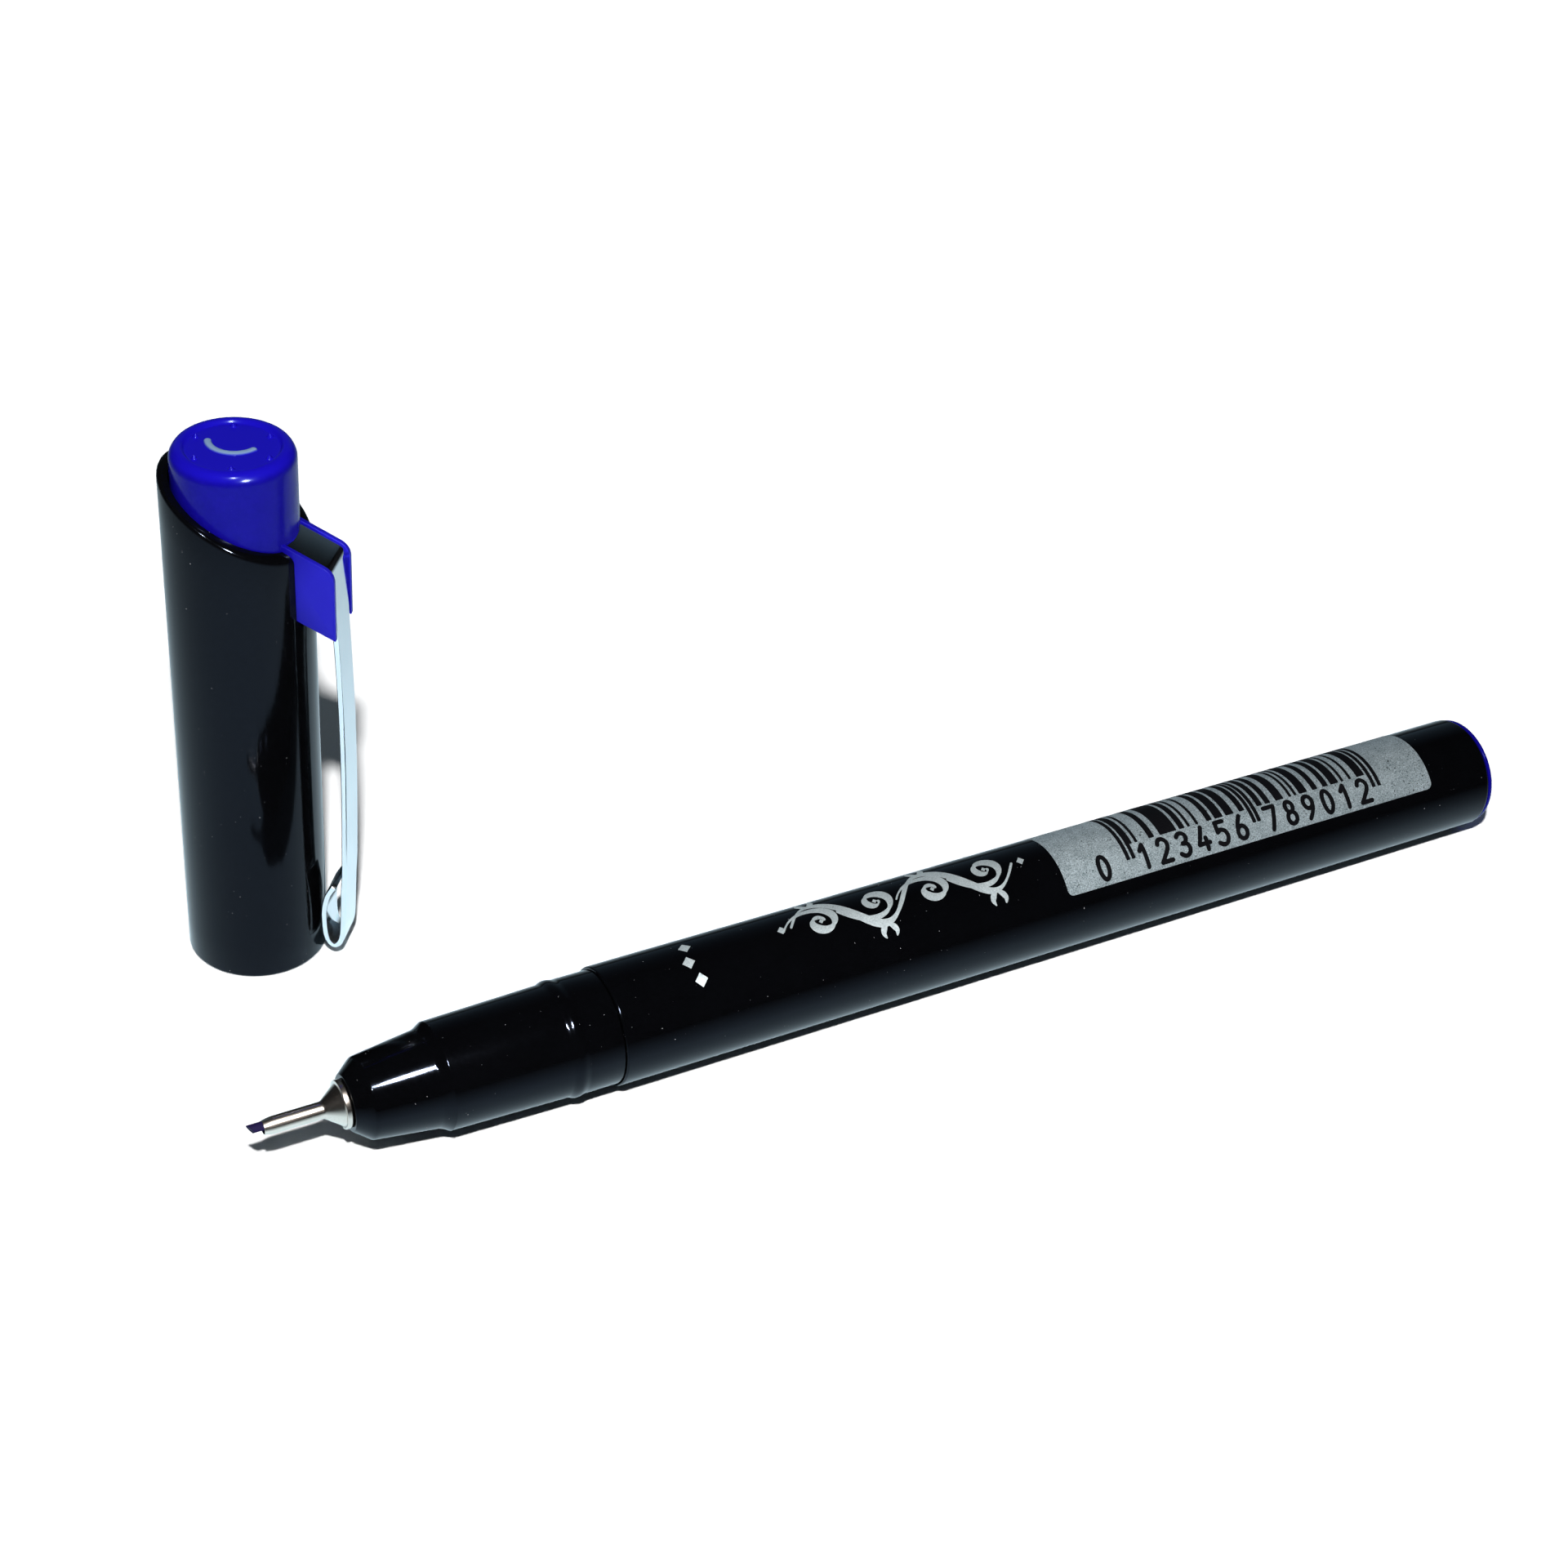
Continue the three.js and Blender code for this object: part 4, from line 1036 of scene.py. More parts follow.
@dataclass
class Printing:
    """The silver panel with its bars and digits, and the silver ornament, on the barrel."""

    skin: Wrap
    panel_low: Point = (42.0, 3.041)
    panel_high: Point = (81.3, 13.44)
    panel_corner: float = 0.55
    silver_height: float = 0.012
    ink_height: float = 0.02
    bar_top: float = 12.7
    bar_foot: float = 5.98
    bar_inset: float = 0.08
    bar_corner: float = 0.07
    guard_foot: float = 4.625
    guard_width: float = 0.38
    guard_corner: float = 0.08
    module: float = 0.292
    guards: tuple[float, ...] = (48.44, 49.0, 61.82, 62.32, 75.06, 75.66)
    digit_size: tuple[float, float] = (1.2, 2.05)
    digit_foot: float = 3.56
    digit_stroke: float = 0.42
    first_digit: float = 46.06
    field_cells: int = 6
    fields: tuple[Point, ...] = ((50.32, 2.04), (63.91, 2.03))  # first cell and pitch
    scroll_span: Point = (16.9, 21.3)  # start and length
    scroll_middle: float = 7.5
    scroll_rise: float = 2.1
    scroll_waves: int = 2
    curl_sweep: float = 2.9 * math.pi
    curl_drop: float = 0.25
    curl_dot: Point = (0.02, 0.24)  # how far right of the curl's middle, and half its height
    leaf: tuple[Point, ...] = ((0.1, 0.0), (0.42, 0.28), (0.62, 0.72), (0.5, 1.15))
    leaf_gap: float = 0.12
    nib_wide: float = 0.9
    nib_thin: float = 0.3
    nib_slant: float = math.radians(42)
    front_dots: tuple[Point, ...] = ((7.6, 5.2), (7.25, 7.0), (7.75, 8.8))
    front_dot: float = 0.62
    end_dot: float = 0.42
    end_gap: float = 0.9

    def bars(self) -> Surface:
        """The guard pairs, and six cells of two bars in each field between them.

        Bars and gaps step through 1 to 3 modules in a plain rhythm that stands for nothing.

        Returns:
            The bars, as one surface.
        """
        made = []
        for left in self.guards:
            low, high = (left, self.guard_foot), (left + self.guard_width, self.bar_top)
            made.append(self.skin.bar(low, high, self.guard_corner, self.ink_height))
        for side, (middle, pitch) in enumerate(self.fields):
            for cell in range(self.field_cells):
                left = middle + pitch * (cell - 0.5) + self.bar_inset
                steps = np.array([cell + side, cell + 2 * side, 2 * cell + side]) % (3, 2, 3)
                edges = left + np.cumsum([0.0, *((1 + steps) * self.module)])
                for a, b in edges.reshape(2, 2):
                    low, high = (a, self.bar_foot), (b, self.bar_top)
                    made.append(self.skin.bar(low, high, self.bar_corner, self.ink_height, 3))
        return Surface.joined(made)

    def digits(self) -> Surface:
        """Counting digits, one before the fields and six below each of them.

        Returns:
            The digits, as one surface.
        """
        places = [(self.first_digit, 0)]
        for side, (middle, pitch) in enumerate(self.fields):
            for cell in range(self.field_cells):
                count = 1 + side * self.field_cells + cell
                places.append((middle + pitch * cell, count % len(DIGITS)))
        made = []
        for middle, digit in places:
            corner = np.array([middle - self.digit_size[0] / 2, self.digit_foot])
            for level, line in enumerate(DIGITS[digit]):
                drawn = corner + line * np.array(self.digit_size)
                width = np.full(len(drawn), self.digit_stroke)
                height = self.ink_height + PRINT_STEP * level
                made.append(self.skin.stroke(drawn, width, height, 3))
        return Surface.joined(made)

    def written(self, line: Array, full: Array, level: int) -> Surface:
        """A stroke of a slanted broad nib: thin + (wide - thin)·|sin(direction - slant)| wide.

        Args:
            line: rows of x and y.
            full: a factor for the width at each row.
            level: how many strokes it lies above.

        Returns:
            The stroke.
        """
        ahead = np.gradient(line, axis=0)
        turn = np.arctan2(ahead[:, 1], ahead[:, 0]) - self.nib_slant
        width = full * (self.nib_thin + (self.nib_wide - self.nib_thin) * np.abs(np.sin(turn)))
        return self.skin.stroke(line, width, self.silver_height + PRINT_STEP * level)

    def ornament(self) -> Surface:
        """A vine scroll written with a broad nib.

        The stem is a sine wave. In each half wave a tendril leaves it and curls to the middle,
        its distance from there falling as 0.26 + 0.95·(1 - t) + 1.35·exp(-11t), as a share of the
        rise over 1.55, while it turns nearly one and a half times. Two leaves stand on each
        crest, and a dot lies in each curl.

        Returns:
            The strokes, as one surface.
        """
        start, length, middle, rise = *self.scroll_span, self.scroll_middle, self.scroll_rise
        wave, x = length / self.scroll_waves, np.linspace(0, length, 260)
        stem = np.stack([start + x, middle + rise * np.sin(TURN * x / wave)], axis=1)
        made = [self.written(stem, 0.55 + 0.45 * np.sin(math.pi * x / length), 0)]
        t = np.linspace(0.0, 1.0, 110)
        far = (0.26 + 0.95 * (1 - t) + 1.35 * np.exp(-11 * t)) * rise / 1.55
        body = 0.35 + 0.65 * np.sin(math.pi * np.clip(t * 1.1, 0, 1)) ** 0.7
        for half in range(2 * self.scroll_waves):
            side = 1 - 2 * (half % 2)
            x = start + wave * (0.25 + 0.5 * half)
            centre = np.array([x, middle - side * self.curl_drop])
            turn = math.pi - side * t * self.curl_sweep
            curl = np.stack([far * np.cos(turn), far * np.sin(turn) * 0.92], axis=1)
            made.append(self.written(centre + curl, body, 1))
            crest = np.array([x, middle + side * (rise + self.leaf_gap)])
            for lean in (-1, 1):
                line = crest + spline(np.array(self.leaf) * (lean, side), 8)
                width = 0.1 + 0.42 * np.sin(math.pi * np.linspace(0, 1, len(line)) ** 0.8)
                made.append(self.skin.stroke(line, width, self.silver_height + 2 * PRINT_STEP))
            right, half_dot = self.curl_dot
            height = self.silver_height + 3 * PRINT_STEP
            made.append(self.skin.rhomb((x + right, centre[1]), half_dot, height))
        return Surface.joined(made)

    def dots(self) -> Surface:
        """Rhombic dots: three round the barrel near its front, one at each end of the scroll.

        Returns:
            The dots, as one surface.
        """
        places = [(place, self.front_dot) for place in self.front_dots]
        start, length = self.scroll_span
        for x in (start - self.end_gap, start + length + self.end_gap):
            places.append(((x, self.scroll_middle), self.end_dot))
        made = [self.skin.rhomb(place, half, self.silver_height) for place, half in places]
        return Surface.joined(made)

    def build(self) -> None:
        """Makes the five printed pieces."""
        height = self.silver_height
        panel = self.skin.bar(self.panel_low, self.panel_high, self.panel_corner, height, 24)
        for name, surface, finish in (
            ("silver_panel", panel, Finishes.SILVER_PRINT),
            ("panel_bars", self.bars(), Finishes.BLACK_PRINT),
            ("panel_digits", self.digits(), Finishes.BLACK_PRINT),
            ("silver_ornament", self.ornament(), Finishes.SILVER_LINE),
            ("silver_dots", self.dots(), Finishes.SILVER_LINE),
        ):
            publish(surface.object(name), finish, Body.PEN)


# Cap


def cap_axis(direction: float) -> Axis:
    """The cap's axis, from the tube's box: height 0 at its mouth.

    Args:
        direction: where the clip points, in radians from +X.

    Returns:
        The axis, with theta 0 at the clip.
    """
    low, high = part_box("cap_tube")
    middle = (low + high) / 2 / MM
    c, s = math.cos(direction), math.sin(direction)
    origin = np.array([middle.x, middle.y, low.z / MM])
    return Axis(origin, np.array([0, 0, 1.0]), np.array([c, s, 0]), np.array([-s, c, 0]))


@dataclass
class Cap:
    """The black tube, the blue head with the bracket's cheeks, and the sealing cup inside."""

    axis: Axis
    radius: float = 5.8
    bore: float = 4.95
    mouth_round: float = 0.3
    rim_round: float = 0.5
    bore_round: float = 0.06
    cut_height: float = 42.98
    cut_slope: float = math.tan(math.radians(28.6))
    ring: float = 4.83
    ring_at: float = 2.0
    ring_half: float = 0.4
    ring_gap: float = 0.2
    mouth_bevel: float = 0.25
    slot_half: float = 2.3
    slot_draft: float = 0.03
    slot_gap: float = 0.1
    head: float = 4.85
    head_bore: float = 3.85
    head_height: float = 48.0
    head_bevel: tuple[float, float] = (0.72, 0.5)
    head_round: float = 0.4
    head_rim: float = 0.95
    dish: float = 0.3
    dish_slope: float = 0.36
    roof: float = 1.3
    skirt: float = 26.0
    pip_count: int = 6
    pip_ring: float = 3.22
    pip_radius: float = 0.3
    pip_height: float = 0.34
    pip_start: float = math.radians(-12.4)
    mark_centre: Point = (-0.19, 1.175)
    mark_radius: float = 2.06
    mark_half: float = 0.3
    mark_ends: tuple[float, float] = (-2.78, -0.52)
    mark_height: float = 0.16
    cheek: float = 0.4
    cheek_inner: float = 1.84
    cheek_root: float = 0.3
    web_root: float = 0.45
    pocket_depth: float = 0.9
    pocket_play: float = 0.03
    painted_glow_fade: Point = (-0.6, 0.4)  # from the tube's radius; where the cheeks' painted glow fades in
    painted_top_fade: Point = (-0.9, -0.3)  # from the head's height; where the top's painted light fades in
    mark_fade: Point = (-0.12, 0.02)  # from the mark's half width; where its pale colour and painted highlight fade in
    bracket_top: float = 40.4
    bracket_height: float = 6.25
    bracket_edge: float = 8.43
    bracket_slope: float = math.tan(math.radians(24.5))
    clip_thickness: float = 0.47
    clip_sink: float = 0.16
    clip_bend: float = 2.31
    side_gap: float = 0.15
    cup_line: tuple[Corner, ...] = (
        (32.4, 0, 0), (32.4, 3.35, 0.3), (20.1, 3.35, 0.6), (15.7, 4.07, 0.05),
        (15.7, 4.65, 0.1), (17.9, 4.65, 0.15), (18.35, 3.8, 0.15), (32.62, 3.8, 0.1),
        (32.85, 3.58, 0.1), (32.85, 0, 0),
    )  # height, radius and rounding

    def top_at(self, reach: Array | float) -> Array | float:
        """Height of the cheeks' top edge at a distance from the axis."""
        return self.bracket_top - (reach - self.radius) * self.bracket_slope

    def plate_at(self, reach: Array | float) -> Array | float:
        """Height of the middle of the clip's upper plate at a distance from the axis."""
        cosine = math.cos(math.atan(self.bracket_slope))
        return self.top_at(reach) - self.clip_sink - self.clip_thickness / 2 / cosine

    def tube(self) -> Surface:
        """The tube, cut obliquely and slotted.

        A column outside the slot stands at theta = edge + c·(360° - 2·edge), c from 0 to 1,
        where edge = asin(slot half width / r), and reaches up to the cut, height - r·cos(theta)·
        slope. A column in the slot stands at asin(y / r) and reaches up to the slot's floor. A
        row runs up the outside in equal parts, over the rounded rim and down the bore. Its
        height is base + share·(top + drop - base).

        Returns:
            The closed surface.
        """
        q, lift = np.linspace(0.0, 1.0, 6), np.linspace(0.0, 1.0, 16)
        rim = np.concatenate([
            np.stack([self.radius - self.rim_round * q**2, -self.rim_round * (1 - q) ** 2], axis=1),
            np.stack([self.bore + self.bore_round * (1 - q) ** 2, -self.bore_round * q**2], axis=1),
        ])
        mouth, half = self.mouth_round, self.ring_half
        inner = np.linspace(self.ring_at + half, self.ring_at - half, 9)
        arch = np.cos((inner - self.ring_at) / half * math.pi / 2) ** 2
        bevel = np.array([0.0, self.mouth_bevel])
        parts = [  # radius, base, share and drop
            (self.radius - mouth * (1 - q) ** 2, mouth * q**2, 0.0, 0.0),
            (self.radius, mouth, lift[1:], rim[0, 1]),
            (rim[1:, 0], 0.0, 1.0, rim[1:, 1]),
            (self.bore, inner[0] + self.ring_gap, lift[-2::-1], rim[-1, 1]),
            (self.bore - (self.bore - self.ring) * arch, inner, 0.0, 0.0),
            (self.bore + bevel, bevel[::-1], 0.0, 0.0),
        ]
        table = np.concatenate([np.stack(np.broadcast_arrays(*part), axis=1) for part in parts])
        r, base, share, drop = (column[:, None] for column in table.T)
        edge = np.arcsin(self.slot_half / r)
        wall = edge + np.linspace(0.0, 1.0, SIDES)[None] * (TURN - 2 * edge)
        within = np.linspace(-1.0, 1.0, 24)[None]
        floor = np.arcsin((self.slot_half - self.slot_draft) * within / r)
        cut = self.cut_height - r * np.cos(wall) * self.cut_slope
        low = self.top_at(r) - self.bracket_height - self.slot_gap + np.zeros_like(floor)
        top = np.concatenate([cut, low], axis=1) + drop
        theta = np.concatenate([wall, floor], axis=1)
        height = base + share * (top - base)
        return Surface.grid(self.axis.turn(height, r + np.zeros_like(theta), theta), ring=True)

    def from_mark(self, x: Array, y: Array) -> Array:
        """Distance from the gate mark's arc, whose ends are its nearest points beyond them.

        Args:
            x: distances from the axis towards the clip.
            y: distances from the axis a quarter turn on.

        Returns:
            The distances.
        """
        x, y = x - self.mark_centre[0], y - self.mark_centre[1]
        turn = np.clip(np.arctan2(y, x), *self.mark_ends)
        return np.hypot(x - self.mark_radius * np.cos(turn), y - self.mark_radius * np.sin(turn))

    def dished(self, along: Array, radius: Array, angle: Array) -> tuple[Array, Array]:
        """Raises the pips and the gate mark on the dish's floor.

        A pip rises as height·(1 - (d / radius)²)² with the distance d from its middle. The mark
        is a low ridge on an arc, rising as height·sqrt(1 - (d / half width)²) with the distance
        d from the arc.

        Args:
            along: heights.
            radius: radii.
            angle: angles round the axis.

        Returns:
            The new heights and the radii.
        """
        x, y = radius * np.cos(angle), radius * np.sin(angle)
        lift = np.zeros_like(x)
        for turn in self.pip_start + TURN * np.arange(self.pip_count) / self.pip_count:
            apart = np.hypot(x - self.pip_ring * np.cos(turn), y - self.pip_ring * np.sin(turn))
            lift += self.pip_height * np.clip(1 - (apart / self.pip_radius) ** 2, 0, 1) ** 2
        ridge = 1 - (self.from_mark(x, y) / self.mark_half) ** 2
        lift += self.mark_height * np.sqrt(np.clip(ridge, 0, 1))
        on_floor = np.abs(along - (self.head_height - self.dish)) < ON_FLOOR
        return along + np.where(on_floor, lift, 0.0), radius

    def head_body(self) -> Surface:
        """The head with its dished top and pips, on its hollow skirt.

        Returns:
            The closed surface.
        """
        top, (drop, inset) = self.head_height, self.head_bevel
        floor, edge = top - self.dish, self.head - self.head_rim
        t = np.linspace(0.0, 1.0, 9)[1:]
        slope = [top - self.dish * (1 - np.cos(math.pi * t)) / 2, edge - t * self.dish_slope]
        outside = rounded(
            [
                (floor - self.roof, 0, 0), (floor - self.roof, self.head_bore, 0.3),
                (self.skirt, self.head_bore, 0.05), (self.skirt, self.head - 0.3, 0.1),
                (self.skirt + 0.45, self.head, 0.1), (top - drop, self.head, self.head_round),
                (top, self.head - inset, self.head_round - 0.01), (top, edge, 0.0),
            ],
            8,
        )
        inside = np.linspace(edge - self.dish_slope, 0.0, 76)[1:]
        flat = [np.full_like(inside, floor), inside]
        profile = np.concatenate([outside, np.stack(slope, axis=1), np.stack(flat, axis=1)])
        return turned(self.axis, profile, ring=False, shape=self.dished)

    def cheeks(self) -> list[Surface]:
        """Both cheeks: a plate between two sloping edges, its outer top corner rounded.

        Returns:
            The two closed surfaces.
        """
        inner, outer = self.head_bore + self.cheek_root, self.bracket_edge
        drop = self.bracket_height
        low, high = self.top_at(inner), self.top_at(outer)
        corners = [(inner, low - drop, 0.16), (outer, high - drop, 0.16)]
        outline = rounded([*corners, (outer, high, 0.95), (inner, low, 0.16)], 8)
        t = np.linspace(0, 1, 5)[1:-1, None]
        outline = np.concatenate([outline, outline[-1:] * (1 - t) + outline[:1] * t])
        middle = self.cheek_inner + self.cheek / 2
        return [plate(self.axis, outline, self.cheek, side * middle, 0.045) for side in (-1, 1)]

    def web(self) -> Surface:
        """The block between the cheeks that the clip's plate lies on.

        Returns:
            The closed surface.
        """
        inner, drop = self.head - self.web_root, self.bracket_height
        outer = self.radius + self.clip_bend - self.clip_thickness - 2 * self.side_gap
        gap = self.side_gap + self.clip_thickness / 2
        gap = gap / math.cos(math.atan(self.bracket_slope))
        corners = [
            (inner, self.top_at(inner) - drop, 0.05), (outer, self.top_at(outer) - drop, 0.1),
            (outer, self.plate_at(outer) - gap, 0.15), (inner, self.plate_at(inner) - gap, 0.05),
        ]
        width = 2 * self.cheek_inner + self.cheek
        return plate(self.axis, rounded(corners, 4), width, 0.0, 0.02)

    def pocket(self) -> Surface:
        """The space in the head's wall that the clip's tongue fills.

        Returns:
            The closed surface.
        """
        inner, outer = self.head_bore - self.pocket_depth, self.radius
        gap = self.side_gap + self.clip_thickness / 2
        low, high = self.plate_at(inner), self.plate_at(outer)
        outline = [(inner, low - gap), (outer, high - gap), (outer, high + gap), (inner, low + gap)]
        width = 2 * (self.cheek_inner - self.pocket_play)
        return plate(self.axis, np.array(outline), width, 0.0, 0.0)

    def head_piece(self) -> Object:
        """The head, less the tongue's pocket, joined with the web and the cheeks.

        Returns:
            The head.
        """
        body = self.head_body().object("cap_head")
        helpers = []
        for surface in (self.pocket(), self.web(), *self.cheeks()):
            operation = "UNION" if helpers else "DIFFERENCE"
            helper = surface.object(f"head_tool_{len(helpers)}")
            modifier = body.modifiers.new(operation, "BOOLEAN")
            modifier.operation, modifier.solver, modifier.object = operation, "EXACT", helper
            helpers.append(helper)
        graph = bpy.context.evaluated_depsgraph_get()
        joined = bpy.data.meshes.new_from_object(body.evaluated_get(graph))
        body.modifiers.clear()
        body.data = joined
        for helper in helpers:
            bpy.data.objects.remove(helper)
        shade(joined, 28.0)
        self.mark(joined)
        return body

    def mark(self, mesh: bpy.types.Mesh) -> None:
        """Writes the attributes of the painted glow of the cheeks outside the tube, the painted
        light on the top, and the gate mark's pale colour and painted highlight.

        Args:
            mesh: the head's mesh.
        """
        place = np.empty(len(mesh.vertices) * 3, np.float32)
        mesh.vertices.foreach_get("co", place)
        offset = place.reshape(-1, 3) / MM - self.axis.origin
        directions = (self.axis.zero, self.axis.quarter, self.axis.along)
        reach, across, height = (offset @ direction for direction in directions)
        out = smooth_step(*self.painted_glow_fade, reach - self.radius)
        near = 1 - smooth_step(*self.mark_fade, self.from_mark(reach, across) - self.mark_half)
        for name, amount in (
            # painted glow where light comes through the thin cheeks
            (PAINTED_THIN_GLOW, out * (np.abs(across) > self.cheek_inner)),
            # painted light on the head's top
            (PAINTED_TOP_LIGHT, smooth_step(*self.painted_top_fade, height - self.head_height)),
            # the gate mark's pale colour, partly a painted highlight
            (MARK_PALE_AND_HIGHLIGHT, near * (height > self.head_height - self.dish - ON_FLOOR)),
        ):
            data = mesh.attributes.new(name, "FLOAT", "POINT").data
            data.foreach_set("value", amount.astype(np.float32))

    def build(self) -> None:
        """Makes the cap's three pieces; the sealing cup is belled, and closed above the nib."""
        tube = self.tube().object("cap_shell", sharp=26.0)
        publish(tube, Finishes.BLACK_PLASTIC, Body.CAP, "cap_tube")
        publish(self.head_piece(), Finishes.BLUE_PLASTIC, Body.CAP, "cap_insert")
        cup = turned(self.axis, rounded(self.cup_line, 5), FINE, ring=False).object("cap_cup")
        publish(cup, Finishes.MILKY_PLASTIC, Body.CAP, "cap_liner")


@dataclass
class Clip:
    """The plated strip: tongue, upper plate, bend, bowed blade and rolled lower end."""

    cap: Cap
    width: float = 3.0
    plate_width: float = 3.5
    narrowing: tuple[float, float] = (9.4, 1.9)  # below the bracket's top
    edge: float = 0.13
    bend_radius: float = 0.5
    tongue_end: float = 3.35
    blade_end: float = 9.3
    blade_reach: float = 2.7
    blade_parts: int = 70
    bow: float = 0.36
    tip_gap: float = 0.34
    roll_bottom: float = 0.95
    roll_rise: float = 6.45
    roll_turn: tuple[Point, ...] = (
        (0.935, 0.965), (0.9, 0.7), (0.865, 0.47), (0.82, 0.25), (0.7, 0.11), (0.45, 0.035),
        (0.19, 0.09), (0.04, 0.21), (-0.01, 0.43), (0.02, 0.63), (0.19, 0.84), (0.48, 1.0),
    )
    roll_steps: int = 16

    def path(self) -> Array:
        """The strip's middle line.

        A straight tongue and plate, a bend of bend_radius, a blade that bows out by
        bow·sin(180°·s) from the straight, and a spline that rolls back up inside, whose first
        piece lies in the blade.

        Returns:
            Rows of distance from the cap's axis and height.
        """
        cap, radius = self.cap, self.bend_radius
        half, turn = cap.clip_thickness / 2, math.pi / 2 - math.atan(cap.bracket_slope)
        top = cap.radius + cap.clip_bend - half
        bend_x, bend_y = top - radius, float(cap.plate_at(top)) - radius * math.tan(turn / 2)
        u = np.linspace(turn, 0.0, 13)
        bend = np.stack([bend_x + radius * np.cos(u), bend_y + radius * np.sin(u)], axis=1)
        r = np.linspace(self.tongue_end, bend[0, 0], 14)[:-1]
        foot, inner = cap.radius + self.blade_reach - half, cap.radius + self.tip_gap + half
        s = np.append(np.linspace(0.0, 1.0, self.blade_parts + 1)[1:], [13 / 14, 1.0])
        x = top + (foot - top) * s + self.bow * np.sin(math.pi * s)
        blade = np.stack([x, bend_y + (self.blade_end - bend_y) * s], axis=1)
        low = [inner, self.roll_bottom + half]
        rolled = np.array(self.roll_turn) * [foot - inner, self.roll_rise] + low
        roll = spline(np.concatenate([blade[-2:], rolled]), self.roll_steps)
        tongue = np.stack([r, cap.plate_at(r)], axis=1)
        return np.concatenate([tongue, bend, blade[:-2], roll[self.roll_steps + 1 :]])

    def build(self) -> None:
        """Makes the clip, which narrows over the upper part of the blade."""
        path, (low, high) = self.path(), self.narrowing
        wide = smooth_step(self.cap.bracket_top - low, self.cap.bracket_top - high, path[:, 1])
        width = self.width + (self.plate_width - self.width) * wide
        strip = swept(self.cap.axis, path, width, self.cap.clip_thickness, self.edge)
        publish(strip.object("spring_clip"), Finishes.PLATED_METAL, Body.CLIP, "clip")


# Studio


def disk_lamp(name: str, size: float, power: float, place: Vector, back: Vector) -> Object:
    """Adds a round lamp.

    Args:
        name: its name.
        size: its diameter, in metres.
        power: its power, in watts.
        place: where it hangs.
        back: the direction that it shines against.

    Returns:
        The lamp.
    """
    data = bpy.data.lights.new(name, "AREA")
    data.shape, data.size, data.energy = "DISK", size, power
    made = added(name, data)
    made.location, made.rotation_euler = place, back.to_track_quat("Z", "Y").to_euler()
    return made


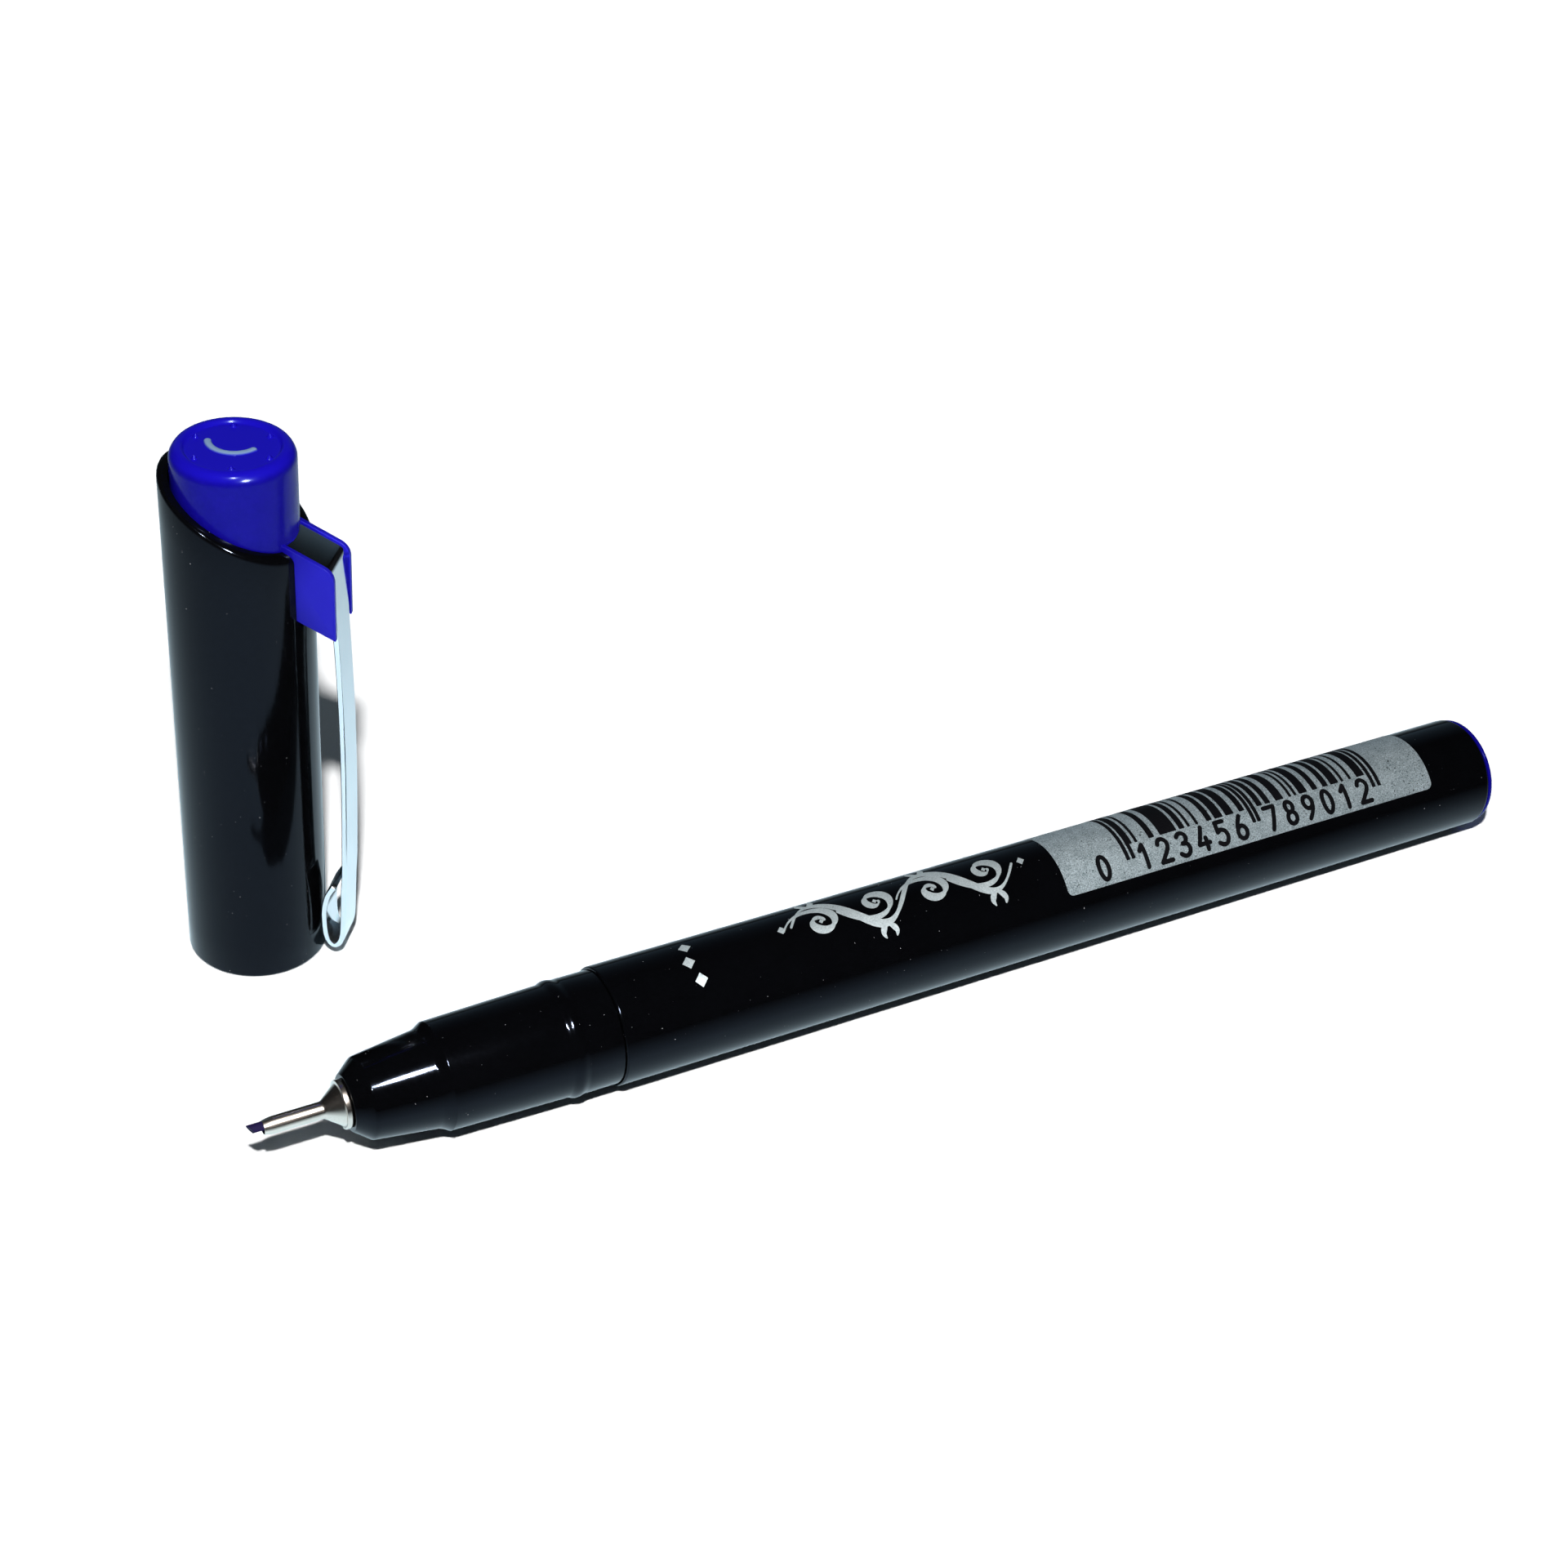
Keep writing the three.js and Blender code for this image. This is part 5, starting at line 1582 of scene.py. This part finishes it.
@dataclass
class Studio:
    """The floor, the lamps, the surroundings and the camera; its own sizes are in metres."""

    lamp_place: Vector = field(default_factory=lambda: Vector((-0.112, -0.172, 0.262)))
    lamp_size: float = 0.014
    lamp_power: float = 0.98
    glint_direction: Vector = field(default_factory=lambda: Vector((0.03, -0.455, 0.89)))
    glint_distance: float = 0.08
    glint_size: float = 0.011
    glint_power: float = 0.18
    glint_at: float = 0.003  # from the front of the section
    white: Colour = (1.0, 1.0, 1.0)
    black: Colour = (0.0, 0.0, 0.0)
    fill: Colour = (0.026, 0.033, 0.038)
    overhead: Colour = (0.012, 0.013, 0.015)
    glow: Colour = (0.13, 0.2, 0.26)
    glow_bearings: tuple[float, ...] = (0.52, 0.75, 1.57, 1.9)  # radians from +X
    glow_top: float = 0.77
    floor_colour: Colour = (0.93, 0.93, 0.93)
    # painted reflection: the floor's colour as the pen's surfaces mirror it, bluish and brighter
    # than its own
    floor_mirrored: Colour = (1.05, 1.34, 1.49)
    floor_dim: float = 0.58
    floor_gain: float = 1.56
    floor_grain: float = 900.0  # crests per metre
    floor_darkest: float = 0.985
    floor_behind: Point = (0.03, 0.08)
    floor_half: float = 6.0
    floor_lines: int = 41
    floor_height: float = -2e-6
    camera_offset: Vector = field(default_factory=lambda: Vector((-166.403, -156.317, 160.01)) * MM)
    view: Vector = field(default_factory=lambda: Vector((0.4152, 0.6883, -0.5949)))
    roll: float = math.radians(4.7235)
    lens: float = 66.265
    sensor: float = 36.0
    sight: Point = (0.005, 50.0)

    def floor_material(self) -> bpy.types.Material:
        """The floor's finish: pale, finely mottled, and white wherever the lamp reaches it.

        The lamp's light falls on it as f / d⁴, where d is the distance from the lamp and f the
        part of it along the lamp's axis. What the camera sees is raised by d⁴ / f, so that the
        light falls off only in shadows and reflections. Behind the lamp it is plain white.
        Reflections see it in a painted reflection colour, bluish and brighter than its own, which
        falls to black evenly with the sine of their rays' angle above the floor, from where that
        sine is floor_dim.

        Returns:
            The material.
        """
        made = bpy.data.materials.new("pale_floor")
        graph = Graph(made)
        camera, mirrored = graph.rays()
        place = graph.node("TexCoord", {}, "Object")
        grain = graph.noise(place, self.floor_grain, 3.0)
        grain = graph.ranged(grain, *NOISE_SPAN, self.floor_darkest, 1.0)
        away = graph.node("VectorMath", {0: place, 1: self.lamp_place}, operation="SUBTRACT")
        length = graph.node("VectorMath", {0: away}, "Value", operation="LENGTH")
        axis = -self.lamp_place.normalized()
        facing = graph.node("VectorMath", {0: away, 1: axis}, "Value", operation="DOT_PRODUCT")
        scale = self.floor_gain * self.lamp_place.dot(-axis) / self.lamp_place.length**4
        gain = graph.math("MULTIPLY", graph.math("POWER", length, 4.0), scale)
        gain = graph.math("DIVIDE", gain, facing)
        shown = graph.node("CombineColor", {0: gain, 1: gain, 2: gain})
        flatness = graph.node("LayerWeight", {"Blend": 0.5}, "Facing")
        steep = graph.ranged(flatness, 1.0 - self.floor_dim, 1.0, 1.0, 0.0)
        reflected = graph.mixed(steep, self.black, self.floor_mirrored)
        hidden = graph.mixed(mirrored, self.floor_colour, reflected)
        sockets = {0: 1.0, 6: graph.mixed(camera, hidden, shown), 7: grain}
        settings = {"data_type": "RGBA", "blend_type": "MULTIPLY", "clamp_result": False}
        lit = graph.node("BsdfDiffuse", {"Color": graph.node("Mix", sockets, 2, **settings)})
        plain = graph.node("Emission", {"Color": self.white})
        behind = graph.ranged(facing, *self.floor_behind, 1.0, 0.0)
        behind = graph.math("MULTIPLY", camera, behind)
        shader = graph.node("MixShader", {0: behind, 1: lit, 2: plain})
        graph.node("OutputMaterial", {"Surface": shader})
        return made

    def floor(self) -> None:
        """The floor: a grid whose lines stand at ±half·t², t in equal steps."""
        t, lines = np.linspace(-1.0, 1.0, self.floor_lines), self.floor_lines
        x = np.sign(t) * np.abs(t) ** 2 * self.floor_half
        grid = np.stack(np.meshgrid(x, x, indexing="ij"), axis=-1).reshape(-1, 2)
        points = np.column_stack([grid, np.full(len(grid), self.floor_height)])
        faces = quads(np.arange(lines**2).reshape(lines, lines))
        mesh = bpy.data.meshes.new("floor")
        mesh.from_pydata(points.tolist(), [], faces.tolist())
        mesh.materials.append(self.floor_material())
        added("floor", mesh)

    def lamps(self) -> None:
        """A small lamp close above the camera, and a faint one for the nose's long glint."""
        disk_lamp("lamp", self.lamp_size, self.lamp_power, self.lamp_place, self.lamp_place)
        low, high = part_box("front_section")
        aim = Vector((low.x + self.glint_at, (low.y + high.y) / 2, (low.z + high.z) / 2))
        place = aim + self.glint_direction * self.glint_distance
        made = disk_lamp("glint", self.glint_size, self.glint_power, place, self.glint_direction)
        made.visible_diffuse = made.visible_transmission = made.visible_volume_scatter = False

    def surroundings(self) -> None:
        """A world that is white to the camera and a weak even fill to the surfaces.

        Reflections see a nearly black room, with a glow low above the horizon behind the pen:
        full between its two middle bearings, and falling to nothing at its top.
        """
        world = bpy.data.worlds.new("room")
        bpy.context.scene.world = world
        graph = Graph(world)
        camera, mirrored = graph.rays()
        direction = graph.node("TexCoord", {}, "Generated")
        haze = graph.ranged(graph.noise(direction, 1.5, 2.0), *NOISE_SPAN)
        room = graph.mixed(haze, self.black, self.overhead)
        x, y, z = (graph.node("SeparateXYZ", {0: direction}, number) for number in range(3))
        bearing, (a, b, c, d) = graph.math("ARCTAN2", y, x), self.glow_bearings
        rise, fall = graph.ranged(bearing, a, b), graph.ranged(bearing, c, d, 1.0, 0.0)
        low = graph.ranged(z, 0.0, self.glow_top, 1.0, 0.0)
        lit = graph.math("MULTIPLY", graph.math("MULTIPLY", rise, fall), low)
        seen = graph.mixed(mirrored, self.fill, graph.mixed(lit, room, self.glow))
        shown = graph.mixed(camera, seen, self.white)
        background = graph.node("Background", {"Color": shown, "Strength": 1.0})
        graph.node("OutputWorld", {"Surface": background})

    def camera(self) -> None:
        """The camera, placed from the barrel's tail as the photograph was taken."""
        low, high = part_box("barrel")
        tail = Vector((high.x, (low.y + high.y) / 2, 0.0))
        forward = self.view.normalized()
        right = forward.cross(Vector((0, 0, 1))).normalized()
        up = right.cross(forward)
        c, s = math.cos(self.roll), math.sin(self.roll)
        rotation = Matrix((right * c + up * s, up * c - right * s, -forward)).transposed().to_4x4()
        data = bpy.data.cameras.new("camera")
        data.lens, data.sensor_width, data.sensor_fit = self.lens, self.sensor, "HORIZONTAL"
        data.clip_start, data.clip_end = self.sight
        made = added("camera", data)
        made.matrix_world = Matrix.Translation(tail + self.camera_offset) @ rotation
        bpy.context.scene.camera = made

    def build(self) -> None:
        """Sets the stage."""
        bpy.context.scene.view_settings.view_transform = "Standard"
        self.floor()
        self.lamps()
        self.surroundings()
        self.camera()


def main() -> None:
    logging.basicConfig(level=logging.INFO, format="%(name)s: %(message)s")
    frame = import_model()
    Studio().build()
    pen = pen_axis()
    barrel = Barrel(pen)
    barrel.build()
    WritingEnd(pen).build()
    InkSupply(frame["nodes"]).build()
    Printing(Wrap(pen, barrel.radius)).build()
    cap = Cap(cap_axis(CLIP_BEARING))
    cap.build()
    Clip(cap).build()


if __name__ == "__main__":
    main()
